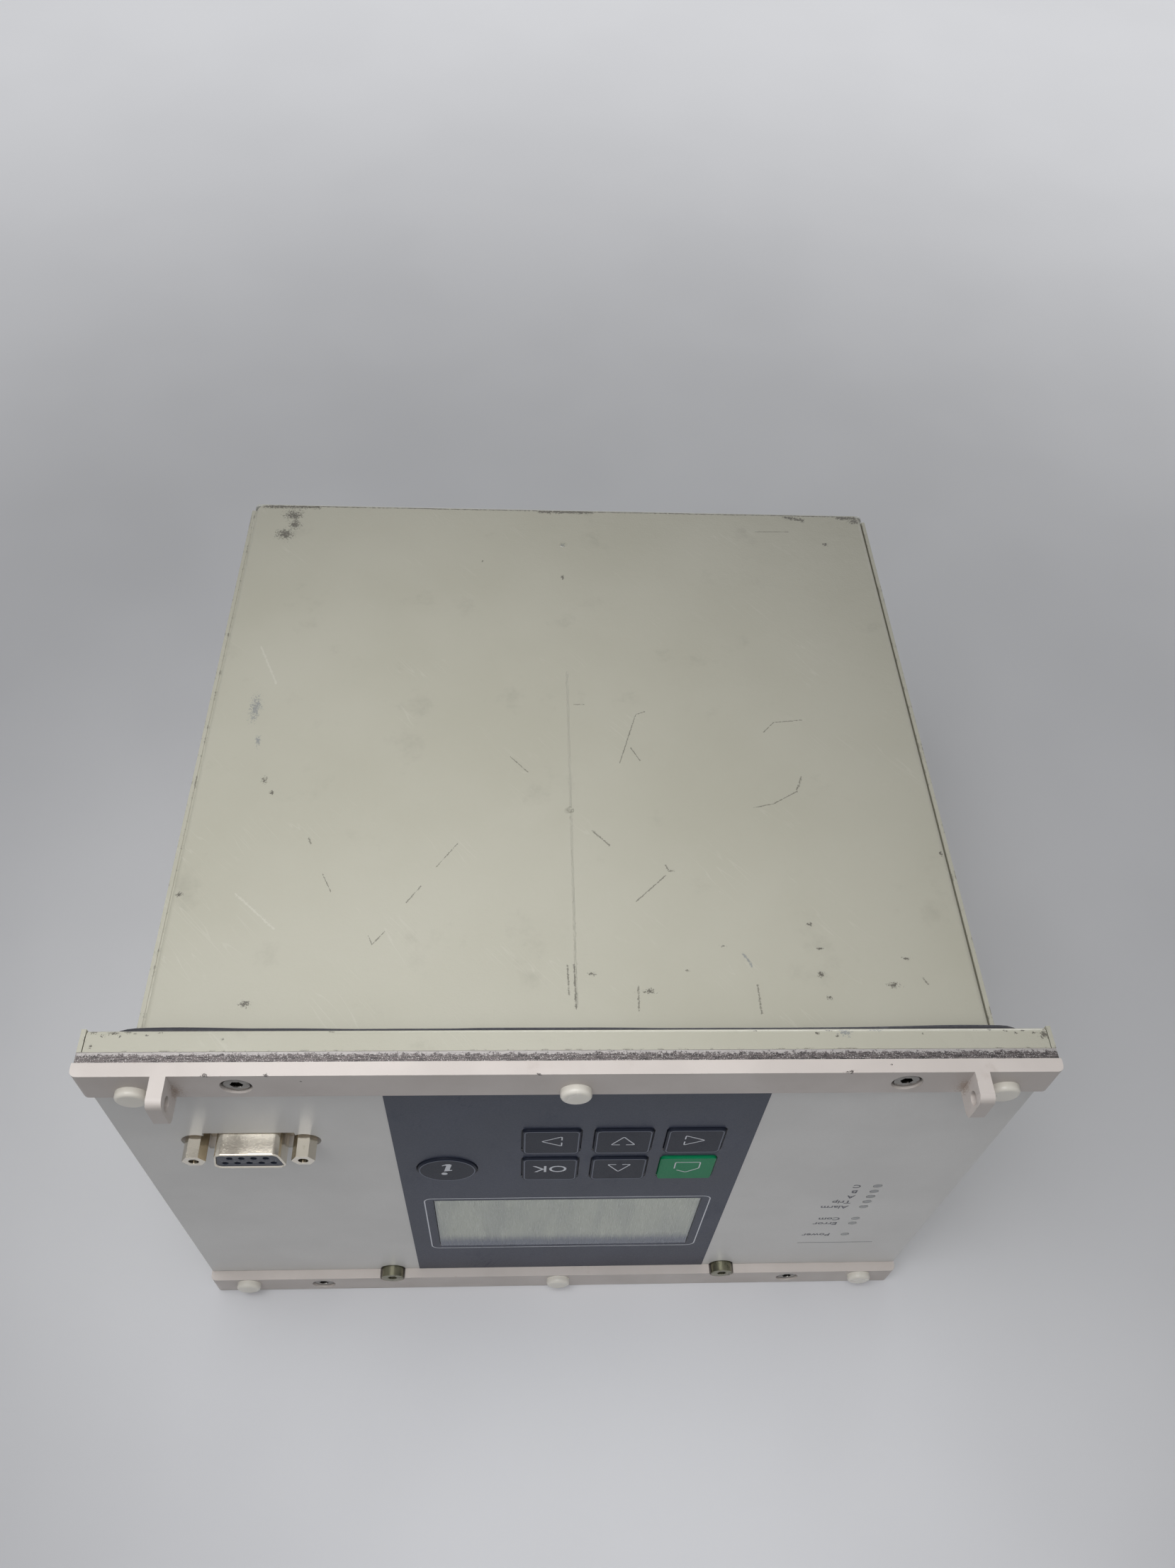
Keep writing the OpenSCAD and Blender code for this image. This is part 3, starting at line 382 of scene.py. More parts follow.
    def _edges(self) -> None:
        """Worn stretches of a solid's edges."""
        graph, given, result = self._begin(
            Effect.EDGES, {"Point": VECTOR, "Reach": FLOAT, "Cover": FLOAT}, {"Worn": FLOAT})
        rounded = graph.node("ShaderNodeBevel", samples=self.EDGE_SAMPLES)
        graph.feed(rounded.inputs["Radius"], graph.math("MULTIPLY", given["Reach"], MM))
        straight = graph.node("ShaderNodeNewGeometry").outputs["Normal"]
        turned = graph.vector("DOT_PRODUCT", rounded.outputs["Normal"], straight)
        rough = graph.noise(given["Point"], self.WORN_PATCH, detail=5.0, roughness=0.7)
        edge = graph.remap(turned, *self.EDGE_FADE)
        shown = graph.remap(graph.math("ADD", rough, given["Cover"]), *self.WORN_FADE)
        graph.feed(result["Worn"], graph.math("MULTIPLY", edge, shown))

    def _line_mark(self) -> None:
        """Mark along a straight line, with a ragged border."""
        graph, given, result = self._begin(
            Effect.LINE_MARK, {"Point": VECTOR, "Start": VECTOR, "End": VECTOR, "Width": FLOAT,
                               "Wobble": FLOAT}, MARK_RESULTS)
        along = graph.vector("SUBTRACT", given["End"], given["Start"])
        away = graph.vector("SUBTRACT", given["Point"], given["Start"])
        reach = graph.math("DIVIDE", graph.vector("DOT_PRODUCT", away, along),
                           graph.vector("DOT_PRODUCT", along, along), clamp=True)
        off = graph.vector("LENGTH", graph.vector("SUBTRACT", away, graph.vector("SCALE", along, reach)))
        ragged = graph.math("ADD", graph.math("DIVIDE", off, given["Width"]), given["Wobble"])
        self._end_mark(graph, given["Point"], graph.remap(ragged, *self.LINE_FADE), result)

    def _spot_mark(self) -> None:
        """Blot about a centre, with a ragged border."""
        graph, given, result = self._begin(
            Effect.SPOT_MARK, {"Point": VECTOR, "Centre": VECTOR, "Reach": VECTOR, "Wobble": FLOAT},
            MARK_RESULTS)
        away = graph.vector("SUBTRACT", given["Point"], given["Centre"])
        away = graph.vector("DIVIDE", away, given["Reach"])
        ragged = graph.math("ADD", graph.vector("LENGTH", away), given["Wobble"])
        self._end_mark(graph, given["Point"], graph.remap(ragged, *self.SPOT_FADE), result)

    def _end_mark(self, graph: Graph, point: Socket, mask: Socket, result: bpy.types.NodeInputs) -> None:
        """Ends the group of a mark.

        Args:
            graph: Graph of the group.
            point: Place on the surface.
            mask: Where the mark is.
            result: Sockets for the mask and for the places of later marks, where those that the mark covers are
                lifted out of reach.
        """
        lift = graph.node("ShaderNodeCombineXYZ")
        graph.feed(lift.inputs["Z"], graph.math("MULTIPLY", mask, self.MARK_LIFT))
        graph.feed(result["Mask"], mask)
        graph.feed(result["Beyond"], graph.vector("ADD", point, lift.outputs["Vector"]))


class MarkKind(Enum):
    """What a mark on a surface is."""

    # Dirt marks also carry painted shade in the rails' screw bores.
    DIRT_AND_SHADE = "dirt"
    SCRATCH = "scratch"
    PRIMER = "primer"
    # Rub marks also carry grime and painted shade in the lugs' corners.
    RUB_AND_SHADE = "rub"
    RIDGE = "ridge"


@dataclass(frozen=True)
class LineMark:
    """A scratch, smear or ridge along a straight line."""

    kind: MarkKind
    start: Point3
    end: Point3
    width: float

    def lay(self, graph: Graph, kit: EffectKit, point: Socket, wobble: Socket) -> bpy.types.NodeOutputs:
        """Returns the mark's mask, and the places that are left for later marks."""
        return graph.effect(kit[Effect.LINE_MARK], Point=point, Start=self.start, End=self.end,
                            Width=self.width, Wobble=wobble)


@dataclass(frozen=True)
class SpotMark:
    """A chip or blot about a centre."""

    kind: MarkKind
    centre: Point3
    reach: Point3
    ragged: bool = True

    def lay(self, graph: Graph, kit: EffectKit, point: Socket, wobble: Socket) -> bpy.types.NodeOutputs:
        """Returns the mark's mask, and the places that are left for later marks."""
        return graph.effect(kit[Effect.SPOT_MARK], Point=point, Centre=self.centre, Reach=self.reach,
                            Wobble=wobble if self.ragged else 0.0)


Mark = LineMark | SpotMark


def runs(kind: MarkKind, height: float, width: float, *paths: Sequence[Point2]) -> Iterator[LineMark]:
    """Lays line marks along paths on a level face.

    Args:
        kind: What the marks are.
        height: Height of the face.
        width: Half the width of a mark.
        paths: Corner points of each path, across and along the part.

    Yields:
        One mark for each straight stretch.
    """
    for path in paths:
        for (x, y), (to_x, to_y) in zip(path, path[1:]):
            yield LineMark(kind, (x, y, height), (to_x, to_y, height), width)


def spots(kind: MarkKind, height: float, *places: tuple[float, float, float, float]) -> Iterator[SpotMark]:
    """Lays blots on a level face.

    Args:
        kind: What the blots are.
        height: Height of the face.
        places: Middle of each blot and how far it reaches, across and along the part.

    Yields:
        One mark for each place.
    """
    for x, y, reach_x, reach_y in places:
        yield SpotMark(kind, (x, y, height), (reach_x, reach_y, SPOT_DEPTH))


@dataclass(frozen=True)
class Finish:
    """A surface finish, from which a material is made."""

    MIDDLE: ClassVar[Point2] = (0.3, 0.7)
    WIDE: ClassVar[Point2] = (0.25, 0.75)
    NARROW: ClassVar[Point2] = (0.35, 0.65)
    WOBBLE_SCALE: ClassVar[float] = 2.1
    WOBBLE_REACH: ClassVar[float] = 7.0

    name: str
    colour: Colour
    roughness: float

    def material(self, kit: EffectKit) -> bpy.types.Material:
        """Makes the material of this finish.

        Args:
            kit: Shared effects.

        Returns:
            The new material.
        """
        made = bpy.data.materials.new(self.name)
        made.use_nodes = True
        self.lay(Graph(made.node_tree), made.node_tree.nodes["Principled BSDF"].inputs, kit)
        return made

    def lay(self, graph: Graph, shader: bpy.types.NodeInputs, kit: EffectKit) -> None:
        """Lays the nodes that feed the shader."""
        raise NotImplementedError

    def dulled(self, graph: Graph, value: Socket, span: Point2, less: float, more: float) -> Socket:
        """Varies the roughness with a noise.

        Args:
            graph: Graph of the material.
            value: The noise.
            span: Part of the noise's range that counts.
            less: How much smoother the surface is at the low end.
            more: How much duller it is at the high end.

        Returns:
            The roughness.
        """
        return graph.remap(value, *span, self.roughness - less, self.roughness + more)

    def masks(
        self, marks: Sequence[Mark], graph: Graph, kit: EffectKit, point: Socket
    ) -> dict[MarkKind, Socket]:
        """Joins marks of one kind into one mask.

        Args:
            marks: Marks on the surface.
            graph: Graph of the material.
            kit: Shared effects.
            point: Place on the surface.

        Returns:
            A mask for each kind of mark that there is.
        """
        found: dict[MarkKind, Socket] = {}
        if not marks:
            return found
        wobble = graph.jag(point, self.WOBBLE_SCALE, self.WOBBLE_REACH)
        for mark in marks:
            laid = mark.lay(graph, kit, point, wobble)
            found[mark.kind] = graph.math("MAXIMUM", laid["Mask"], found.get(mark.kind, 0.0))
            point = laid["Beyond"]
        return found


@dataclass(frozen=True)
class SheetPaint(Finish):
    """Paint on folded sheet, with scratches, chips and dirt."""

    SOIL_SHARE: ClassVar[float] = 0.16
    HAIR_SHARE: ClassVar[float] = 0.22
    SPECK_SHARE: ClassVar[float] = 0.55
    WORN_SHARE: ClassVar[float] = 0.85
    MARK_SHARES: ClassVar[dict[MarkKind, float]] = {
        MarkKind.PRIMER: 0.62, MarkKind.RUB_AND_SHADE: 0.5, MarkKind.RIDGE: 0.4, MarkKind.SCRATCH: 0.6,
        MarkKind.DIRT_AND_SHADE: 0.8}
    FINE_RISE: ClassVar[float] = 0.45
    MOTTLE_RISE: ClassVar[float] = 0.7
    RIDGE_RISE: ClassVar[float] = 0.7
    DEPTH: ClassVar[float] = 0.085

    shade: Colour
    rub: Colour
    chip: Colour
    primer: Colour
    edge_cover: float = 0.46
    marks: tuple[Mark, ...] = ()

    def lay(self, graph: Graph, shader: bpy.types.NodeInputs, kit: EffectKit) -> None:
        """Lays the nodes that feed the shader. Only ridges join the relief, which is slow to render."""
        point = graph.point()
        broad = graph.effect(kit[Effect.GRAIN], Point=point, Size=55.0)["Value"]
        mottle = graph.effect(kit[Effect.GRAIN], Point=point, Size=2.4)["Value"]
        fine = graph.effect(kit[Effect.GRAIN], Point=point, Size=0.45)["Value"]
        soil = graph.effect(kit[Effect.SOILING], Point=point, Size=16.0, Cover=0.42)["Mask"]
        specks = graph.effect(kit[Effect.SOILING], Point=point, Size=1.5, Cover=0.295)["Mask"]
        hair = graph.effect(kit[Effect.HAIRLINES], Point=point, Axis=UPWARD, Turn=0.85, Length=30.0,
                            Spacing=2.2, Cover=0.42)["Mask"]
        worn = graph.effect(kit[Effect.EDGES], Point=point, Reach=0.7, Cover=self.edge_cover)["Worn"]
        colour = graph.mix(graph.remap(broad, *self.MIDDLE), self.colour, self.shade)
        colour = graph.tint(colour, soil, self.SOIL_SHARE, self.chip)
        colour = graph.tint(colour, hair, self.HAIR_SHARE, self.rub)
        colour = graph.tint(colour, specks, self.SPECK_SHARE, self.chip)
        colour = graph.tint(colour, worn, self.WORN_SHARE, self.chip)
        raised = self.masks([mark for mark in self.marks if mark.kind is MarkKind.RIDGE], graph, kit, point)
        flat = self.masks([mark for mark in self.marks if mark.kind is not MarkKind.RIDGE], graph, kit, point)
        found = raised | flat
        tones = {MarkKind.PRIMER: self.primer, MarkKind.RUB_AND_SHADE: self.rub, MarkKind.RIDGE: self.shade,
                 MarkKind.SCRATCH: self.chip, MarkKind.DIRT_AND_SHADE: self.chip}
        for kind, share in self.MARK_SHARES.items():
            if kind in found:
                colour = graph.tint(colour, found[kind], share, tones[kind])
        relief = graph.math("ADD", graph.math("MULTIPLY", fine, self.FINE_RISE),
                            graph.math("MULTIPLY", mottle, self.MOTTLE_RISE))
        for ridge in raised.values():
            relief = graph.math("ADD", relief, graph.math("MULTIPLY", ridge, self.RIDGE_RISE))
        graph.feed(shader["Base Color"], colour)
        graph.feed(shader["Roughness"], self.dulled(graph, mottle, self.WIDE, less=0.05, more=0.07))
        graph.feed(shader["Normal"], graph.bump(relief, self.DEPTH))


@dataclass(frozen=True)
class PrintedFilm(Finish):
    """Plastic film with a fine surface, as a flat sheet or an embossed key."""

    SMEAR_STRETCH: ClassVar[Point3] = (1.0, 1.0, 0.35)
    DULL_SPAN: ClassVar[Point2] = (0.2, 0.8)
    GRAIN_SHARE: ClassVar[float] = 0.35
    SMEAR_SHARE: ClassVar[float] = 0.12
    DULL_SHARE: ClassVar[float] = 0.08
    DEPTH: ClassVar[float] = 0.012

    shade: Colour
    gloss: float = 0.24

    def lay(self, graph: Graph, shader: bpy.types.NodeInputs, kit: EffectKit) -> None:
        """Lays the nodes that feed the shader."""
        point = graph.point()
        broad = graph.effect(kit[Effect.GRAIN], Point=point, Size=24.0)["Value"]
        fine = graph.effect(kit[Effect.GRAIN], Point=point, Size=0.28)["Value"]
        drawn = graph.vector("MULTIPLY", point, self.SMEAR_STRETCH)
        smears = graph.effect(kit[Effect.SOILING], Point=drawn, Size=9.0, Cover=0.45)["Mask"]
        hair = graph.effect(kit[Effect.HAIRLINES], Point=point, Axis=INWARD, Turn=1.2, Length=22.0,
                            Spacing=1.6, Cover=0.36)["Mask"]
        colour = graph.mix(graph.remap(broad, *self.MIDDLE), self.colour, self.shade)
        colour = graph.tint(colour, graph.remap(fine, *self.NARROW), self.GRAIN_SHARE, self.shade)
        colour = graph.tint(colour, smears, self.SMEAR_SHARE, self.shade)
        rubbed = graph.math("MULTIPLY", graph.math("ADD", smears, hair), self.DULL_SHARE)
        grained = self.dulled(graph, fine, self.DULL_SPAN, less=0.05, more=0.05)
        graph.feed(shader["Base Color"], colour)
        graph.feed(shader["Roughness"], graph.math("ADD", grained, rubbed))
        shader["Specular IOR Level"].default_value = self.gloss
        graph.feed(shader["Normal"], graph.bump(fine, self.DEPTH))


@dataclass(frozen=True)
class MouldedPlastic(Finish):
    """Moulded plastic with grime at its edges and stains; faces that look forward get a painted shade."""

    # Tone of the painted shade on faces that look forward.
    FRONT_SHADE: ClassVar[Colour] = srgb(140, 133, 128)
    # Tone of dirt, and of the painted shade in the rails' screw bores.
    DIRT_AND_SHADE: ClassVar[Colour] = srgb(58, 48, 44)
    FACING: ClassVar[Point2] = (0.5, 0.95)
    SOIL_SHARE: ClassVar[float] = 0.22
    WORN_SHARE: ClassVar[float] = 0.6
    GRIME_AND_SHADE_SHARE: ClassVar[float] = 0.5
    DIRT_AND_SHADE_SHARE: ClassVar[float] = 0.9
    DEPTH: ClassVar[float] = 0.02

    shade: Colour
    # Tone of grime, and of the painted shade in the lugs' corners.
    grime_and_shade: Colour
    cover: float = 0.4
    marks: tuple[Mark, ...] = ()
    front_shade: float = 0.0

    def lay(self, graph: Graph, shader: bpy.types.NodeInputs, kit: EffectKit) -> None:
        """Lays the nodes that feed the shader."""
        point = graph.point()
        broad = graph.effect(kit[Effect.GRAIN], Point=point, Size=14.0)["Value"]
        fine = graph.effect(kit[Effect.GRAIN], Point=point, Size=0.4)["Value"]
        soil = graph.effect(kit[Effect.SOILING], Point=point, Size=8.0, Cover=self.cover)["Mask"]
        worn = graph.effect(kit[Effect.EDGES], Point=point, Reach=0.5, Cover=self.cover)["Worn"]
        colour = graph.mix(graph.remap(broad, *self.MIDDLE), self.colour, self.shade)
        colour = graph.tint(colour, soil, self.SOIL_SHARE, self.grime_and_shade)
        # Painted shade: faces that look forward are greyed, darker than those that look up.
        if self.front_shade:
            normal = graph.node("ShaderNodeNewGeometry").outputs["Normal"]
            facing = graph.vector("DOT_PRODUCT", normal, FORWARD)
            colour = graph.mix(graph.remap(facing, *self.FACING, 0.0, self.front_shade), colour, self.FRONT_SHADE)
        colour = graph.tint(colour, worn, self.WORN_SHARE, self.grime_and_shade)
        found = self.masks(self.marks, graph, kit, point)
        # Rub marks lay grime and painted shade; dirt marks lay dirt and painted shade.
        for kind, share, tone in ((MarkKind.RUB_AND_SHADE, self.GRIME_AND_SHADE_SHARE, self.grime_and_shade),
                                  (MarkKind.DIRT_AND_SHADE, self.DIRT_AND_SHADE_SHARE, self.DIRT_AND_SHADE)):
            if kind in found:
                colour = graph.tint(colour, found[kind], share, tone)
        graph.feed(shader["Base Color"], colour)
        graph.feed(shader["Roughness"], self.dulled(graph, broad, self.WIDE, less=0.06, more=0.06))
        graph.feed(shader["Normal"], graph.bump(fine, self.DEPTH))


@dataclass(frozen=True)
class BareMetal(Finish):
    """Plated or plain metal with tarnish and fine scratches, with painted shade from a given depth on."""

    POCKET_SHADE: ClassVar[Colour] = srgb(22, 20, 18)
    POCKET_FADE: ClassVar[float] = 0.4
    POCKET_SHARE: ClassVar[float] = 0.9
    DULL_SHARE: ClassVar[float] = 0.16
    DEPTH: ClassVar[float] = 0.01

    tarnish: Colour
    cover: float = 0.4
    shade_from: float | None = None

    def lay(self, graph: Graph, shader: bpy.types.NodeInputs, kit: EffectKit) -> None:
        """Lays the nodes that feed the shader."""
        point = graph.point()
        stain = graph.effect(kit[Effect.SOILING], Point=point, Size=2.2, Cover=self.cover)["Mask"]
        hair = graph.effect(kit[Effect.HAIRLINES], Point=point, Axis=INWARD, Turn=0.3, Length=8.0,
                            Spacing=0.35, Cover=0.5)["Mask"]
        fine = graph.effect(kit[Effect.GRAIN], Point=point, Size=0.5)["Value"]
        colour = graph.mix(stain, self.colour, self.tarnish)
        # Painted shade: all of the metal behind a given depth turns dark, as if shaded in its recess.
        if self.shade_from is not None:
            deep_shade = graph.remap(graph.split(point)["Y"], self.shade_from, self.shade_from + self.POCKET_FADE)
            colour = graph.tint(colour, deep_shade, self.POCKET_SHARE, self.POCKET_SHADE)
        dull = graph.math("MULTIPLY", graph.math("ADD", stain, hair), self.DULL_SHARE)
        graph.feed(shader["Base Color"], colour)
        shader["Metallic"].default_value = 1.0
        graph.feed(shader["Roughness"], graph.math("ADD", dull, self.roughness))
        graph.feed(shader["Normal"], graph.bump(fine, self.DEPTH))


@dataclass(frozen=True)
class ScuffedPlate(Finish):
    """Aluminium plate with a torn, sparkling edge, and a painted highlight that brightens the window for the
    port.
    """

    RUST: ClassVar[Colour] = srgb(104, 84, 74)
    STREAK_STRETCH: ClassVar[Point3] = (0.12, 1.0, 1.0)
    STREAK_SCALE: ClassVar[float] = 3.2
    STREAK_SPAN: ClassVar[Point2] = (0.36, 0.64)
    FLECK_SCALE: ClassVar[float] = 4.2
    FLECK_SPAN: ClassVar[Point2] = (0.56, 0.66)
    JAG_SCALE: ClassVar[float] = 1.3
    JAG_REACH: ClassVar[float] = 4.0
    TORN_FADE: ClassVar[float] = 0.2
    REAR_SHARE: ClassVar[float] = 0.68
    RUST_SHARE: ClassVar[float] = 0.4
    TORN_SHARE: ClassVar[float] = 0.75
    METAL: ClassVar[Point2] = (0.6, 0.1)
    DEPTH: ClassVar[float] = 0.1

    dark: Colour
    fleck_and_highlight: Colour
    # Middle and reach of the painted highlight round the port's window.
    window: Point3
    highlight_reach: Point3
    torn_from: float

    def lay(self, graph: Graph, shader: bpy.types.NodeInputs, kit: EffectKit) -> None:
        """Lays the nodes that feed the shader."""
        point = graph.point()
        ragged = graph.math("ADD", graph.split(point)["Y"], graph.jag(point, self.JAG_SCALE, self.JAG_REACH))
        start, end = self.torn_from - self.TORN_FADE, self.torn_from + self.TORN_FADE
        rear = graph.remap(ragged, start, end, high=self.REAR_SHARE)
        drawn = graph.vector("MULTIPLY", point, self.STREAK_STRETCH)
        streak = graph.noise(drawn, self.STREAK_SCALE, detail=4.0, roughness=0.6)
        flecks = graph.remap(graph.noise(point, self.FLECK_SCALE, roughness=0.65), *self.FLECK_SPAN)
        rust = graph.effect(kit[Effect.SOILING], Point=point, Size=9.0, Cover=0.36)["Mask"]
        worn = graph.effect(kit[Effect.EDGES], Point=point, Reach=0.5, Cover=0.52)["Worn"]
        # Painted highlight: round the port's window the plate turns pale and less metallic, so the window looks
        # lit.
        painted_highlight = graph.effect(kit[Effect.SPOT_MARK], Point=point, Centre=self.window, Reach=self.highlight_reach,
                              Wobble=0.0)["Mask"]
        torn = graph.math("MAXIMUM", rear, graph.math("MAXIMUM", flecks, worn))
        colour = graph.mix(graph.remap(streak, *self.STREAK_SPAN), self.dark, self.colour)
        colour = graph.tint(colour, rust, self.RUST_SHARE, self.RUST)
        colour = graph.tint(colour, torn, self.TORN_SHARE, self.fleck_and_highlight)
        colour = graph.mix(painted_highlight, colour, self.fleck_and_highlight)
        bare_and_lit = graph.math("MAXIMUM", torn, painted_highlight)
        graph.feed(shader["Base Color"], colour)
        graph.feed(shader["Metallic"], graph.remap(bare_and_lit, 0.0, 1.0, *self.METAL))
        graph.feed(shader["Roughness"], self.dulled(graph, streak, self.MIDDLE, less=0.1, more=0.15))
        graph.feed(shader["Normal"], graph.bump(streak, self.DEPTH))


@dataclass(frozen=True)
class Rubber(Finish):
    """Matt rubber with a pale bloom."""

    BLOOM_SHARE: ClassVar[float] = 0.4
    DEPTH: ClassVar[float] = 0.05

    bloom: Colour

    def lay(self, graph: Graph, shader: bpy.types.NodeInputs, kit: EffectKit) -> None:
        """Lays the nodes that feed the shader."""
        point = graph.point()
        soil = graph.effect(kit[Effect.SOILING], Point=point, Size=5.0, Cover=0.48)["Mask"]
        fine = graph.effect(kit[Effect.GRAIN], Point=point, Size=0.6)["Value"]
        graph.feed(shader["Base Color"], graph.tint(self.colour, soil, self.BLOOM_SHARE, self.bloom))
        graph.feed(shader["Roughness"], self.dulled(graph, fine, self.MIDDLE, less=0.06, more=0.06))
        graph.feed(shader["Normal"], graph.bump(fine, self.DEPTH))


@dataclass(frozen=True)
class DisplayPane(Finish):
    """Clear pane in front of a grey-green display, with fine streaks of painted reflection down it, cooler and
    darker towards the bottom, and painted shadow at its left and right borders.
    """

    BROAD_STRETCH: ClassVar[Point3] = (0.16, 1.0, 0.02)
    THIN_STRETCH: ClassVar[Point3] = (2.4, 1.0, 0.09)
    RAGGED: ClassVar[float] = 5.0
    STREAK_SPAN: ClassVar[Point2] = (0.35, 0.75)
    REFLECTION_SHARE: ClassVar[float] = 0.26
    CLOUD_SHARE: ClassVar[float] = 0.2
    BORDER_SHARE: ClassVar[float] = 0.88

    # Tone of the painted reflection streaks.
    streak: Colour
    cool_and_shade: Colour
    cool_height: float
    cool_depth: float
    side_middle: float
    side_reach: float
    side_fade: float

    def lay(self, graph: Graph, shader: bpy.types.NodeInputs, kit: EffectKit) -> None:
        """Lays the nodes that feed the shader."""
        point = graph.point()
        place = graph.split(point)
        broad = graph.noise(graph.vector("MULTIPLY", point, self.BROAD_STRETCH), 1.0, detail=2.0)
        thin = graph.noise(graph.vector("MULTIPLY", point, self.THIN_STRETCH), 1.0, detail=4.0, roughness=0.65)
        shift = graph.math("MULTIPLY", graph.math("SUBTRACT", thin, NOISE_MIDDLE), self.RAGGED)
        ragged = graph.math("ADD", place["Z"], shift)
        band = graph.remap(ragged, self.cool_height + self.cool_depth, self.cool_height)
        # Painted shadow: the display darkens towards its left and right borders.
        aside = graph.math("ABSOLUTE", graph.math("SUBTRACT", place["X"], self.side_middle))
        side = graph.remap(aside, self.side_reach - self.side_fade, self.side_reach)
        # Painted reflection: fine pale streaks down the pane.
        colour = graph.tint(self.colour, graph.remap(thin, *self.STREAK_SPAN), self.REFLECTION_SHARE, self.streak)
        colour = graph.tint(colour, graph.remap(broad, *self.NARROW), self.CLOUD_SHARE, self.cool_and_shade)
        colour = graph.tint(colour, graph.math("MAXIMUM", band, side), self.BORDER_SHARE, self.cool_and_shade)
        graph.feed(shader["Base Color"], colour)
        graph.feed(shader["Roughness"], self.dulled(graph, thin, self.MIDDLE, less=0.04, more=0.06))


@dataclass(frozen=True)
class CircuitBoard(Finish):
    """Lacquered board with traces under the lacquer."""

    TRACE_SCALE: ClassVar[float] = 0.22
    TRACE_PITCH: ClassVar[float] = 0.12
    TRACE_EDGE: ClassVar[Point2] = (0.05, 0.07)

    trace: Colour

    def lay(self, graph: Graph, shader: bpy.types.NodeInputs, kit: EffectKit) -> None:
        """Lays the nodes that feed the shader."""
        point = graph.point()
        cells = graph.node("ShaderNodeTexVoronoi", distance="MANHATTAN", feature="F1")
        graph.feed(cells.inputs["Vector"], point)
        cells.inputs["Scale"].default_value = self.TRACE_SCALE
        bands = graph.math("PINGPONG", cells.outputs["Distance"], self.TRACE_PITCH)
        fine = graph.effect(kit[Effect.GRAIN], Point=point, Size=3.0)["Value"]
        traces = graph.remap(bands, *self.TRACE_EDGE)
        graph.feed(shader["Base Color"], graph.mix(traces, self.colour, self.trace))
        graph.feed(shader["Roughness"], self.dulled(graph, fine, self.MIDDLE, less=0.05, more=0.05))


@dataclass(frozen=True)
class WoundWire(Finish):
    """Lacquered wire wound in close turns."""

    TURN_SCALE: ClassVar[float] = 0.5
    TURN_WAVER: ClassVar[float] = 0.6
    DEPTH: ClassVar[float] = 0.15

    gap: Colour

    def lay(self, graph: Graph, shader: bpy.types.NodeInputs, kit: EffectKit) -> None:
        """Lays the nodes that feed the shader."""
        point = graph.point()
        turns = graph.node("ShaderNodeTexWave", wave_type="BANDS", bands_direction="Y")
        graph.feed(turns.inputs["Vector"], point)
        turns.inputs["Scale"].default_value = self.TURN_SCALE
        turns.inputs["Distortion"].default_value = self.TURN_WAVER
        grain = graph.effect(kit[Effect.GRAIN], Point=point, Size=5.0)["Value"]
        graph.feed(shader["Base Color"], graph.mix(turns.outputs["Fac"], self.gap, self.colour))
        graph.feed(shader["Roughness"], self.dulled(graph, grain, self.MIDDLE, less=0.06, more=0.06))
        graph.feed(shader["Normal"], graph.bump(turns.outputs["Fac"], self.DEPTH))


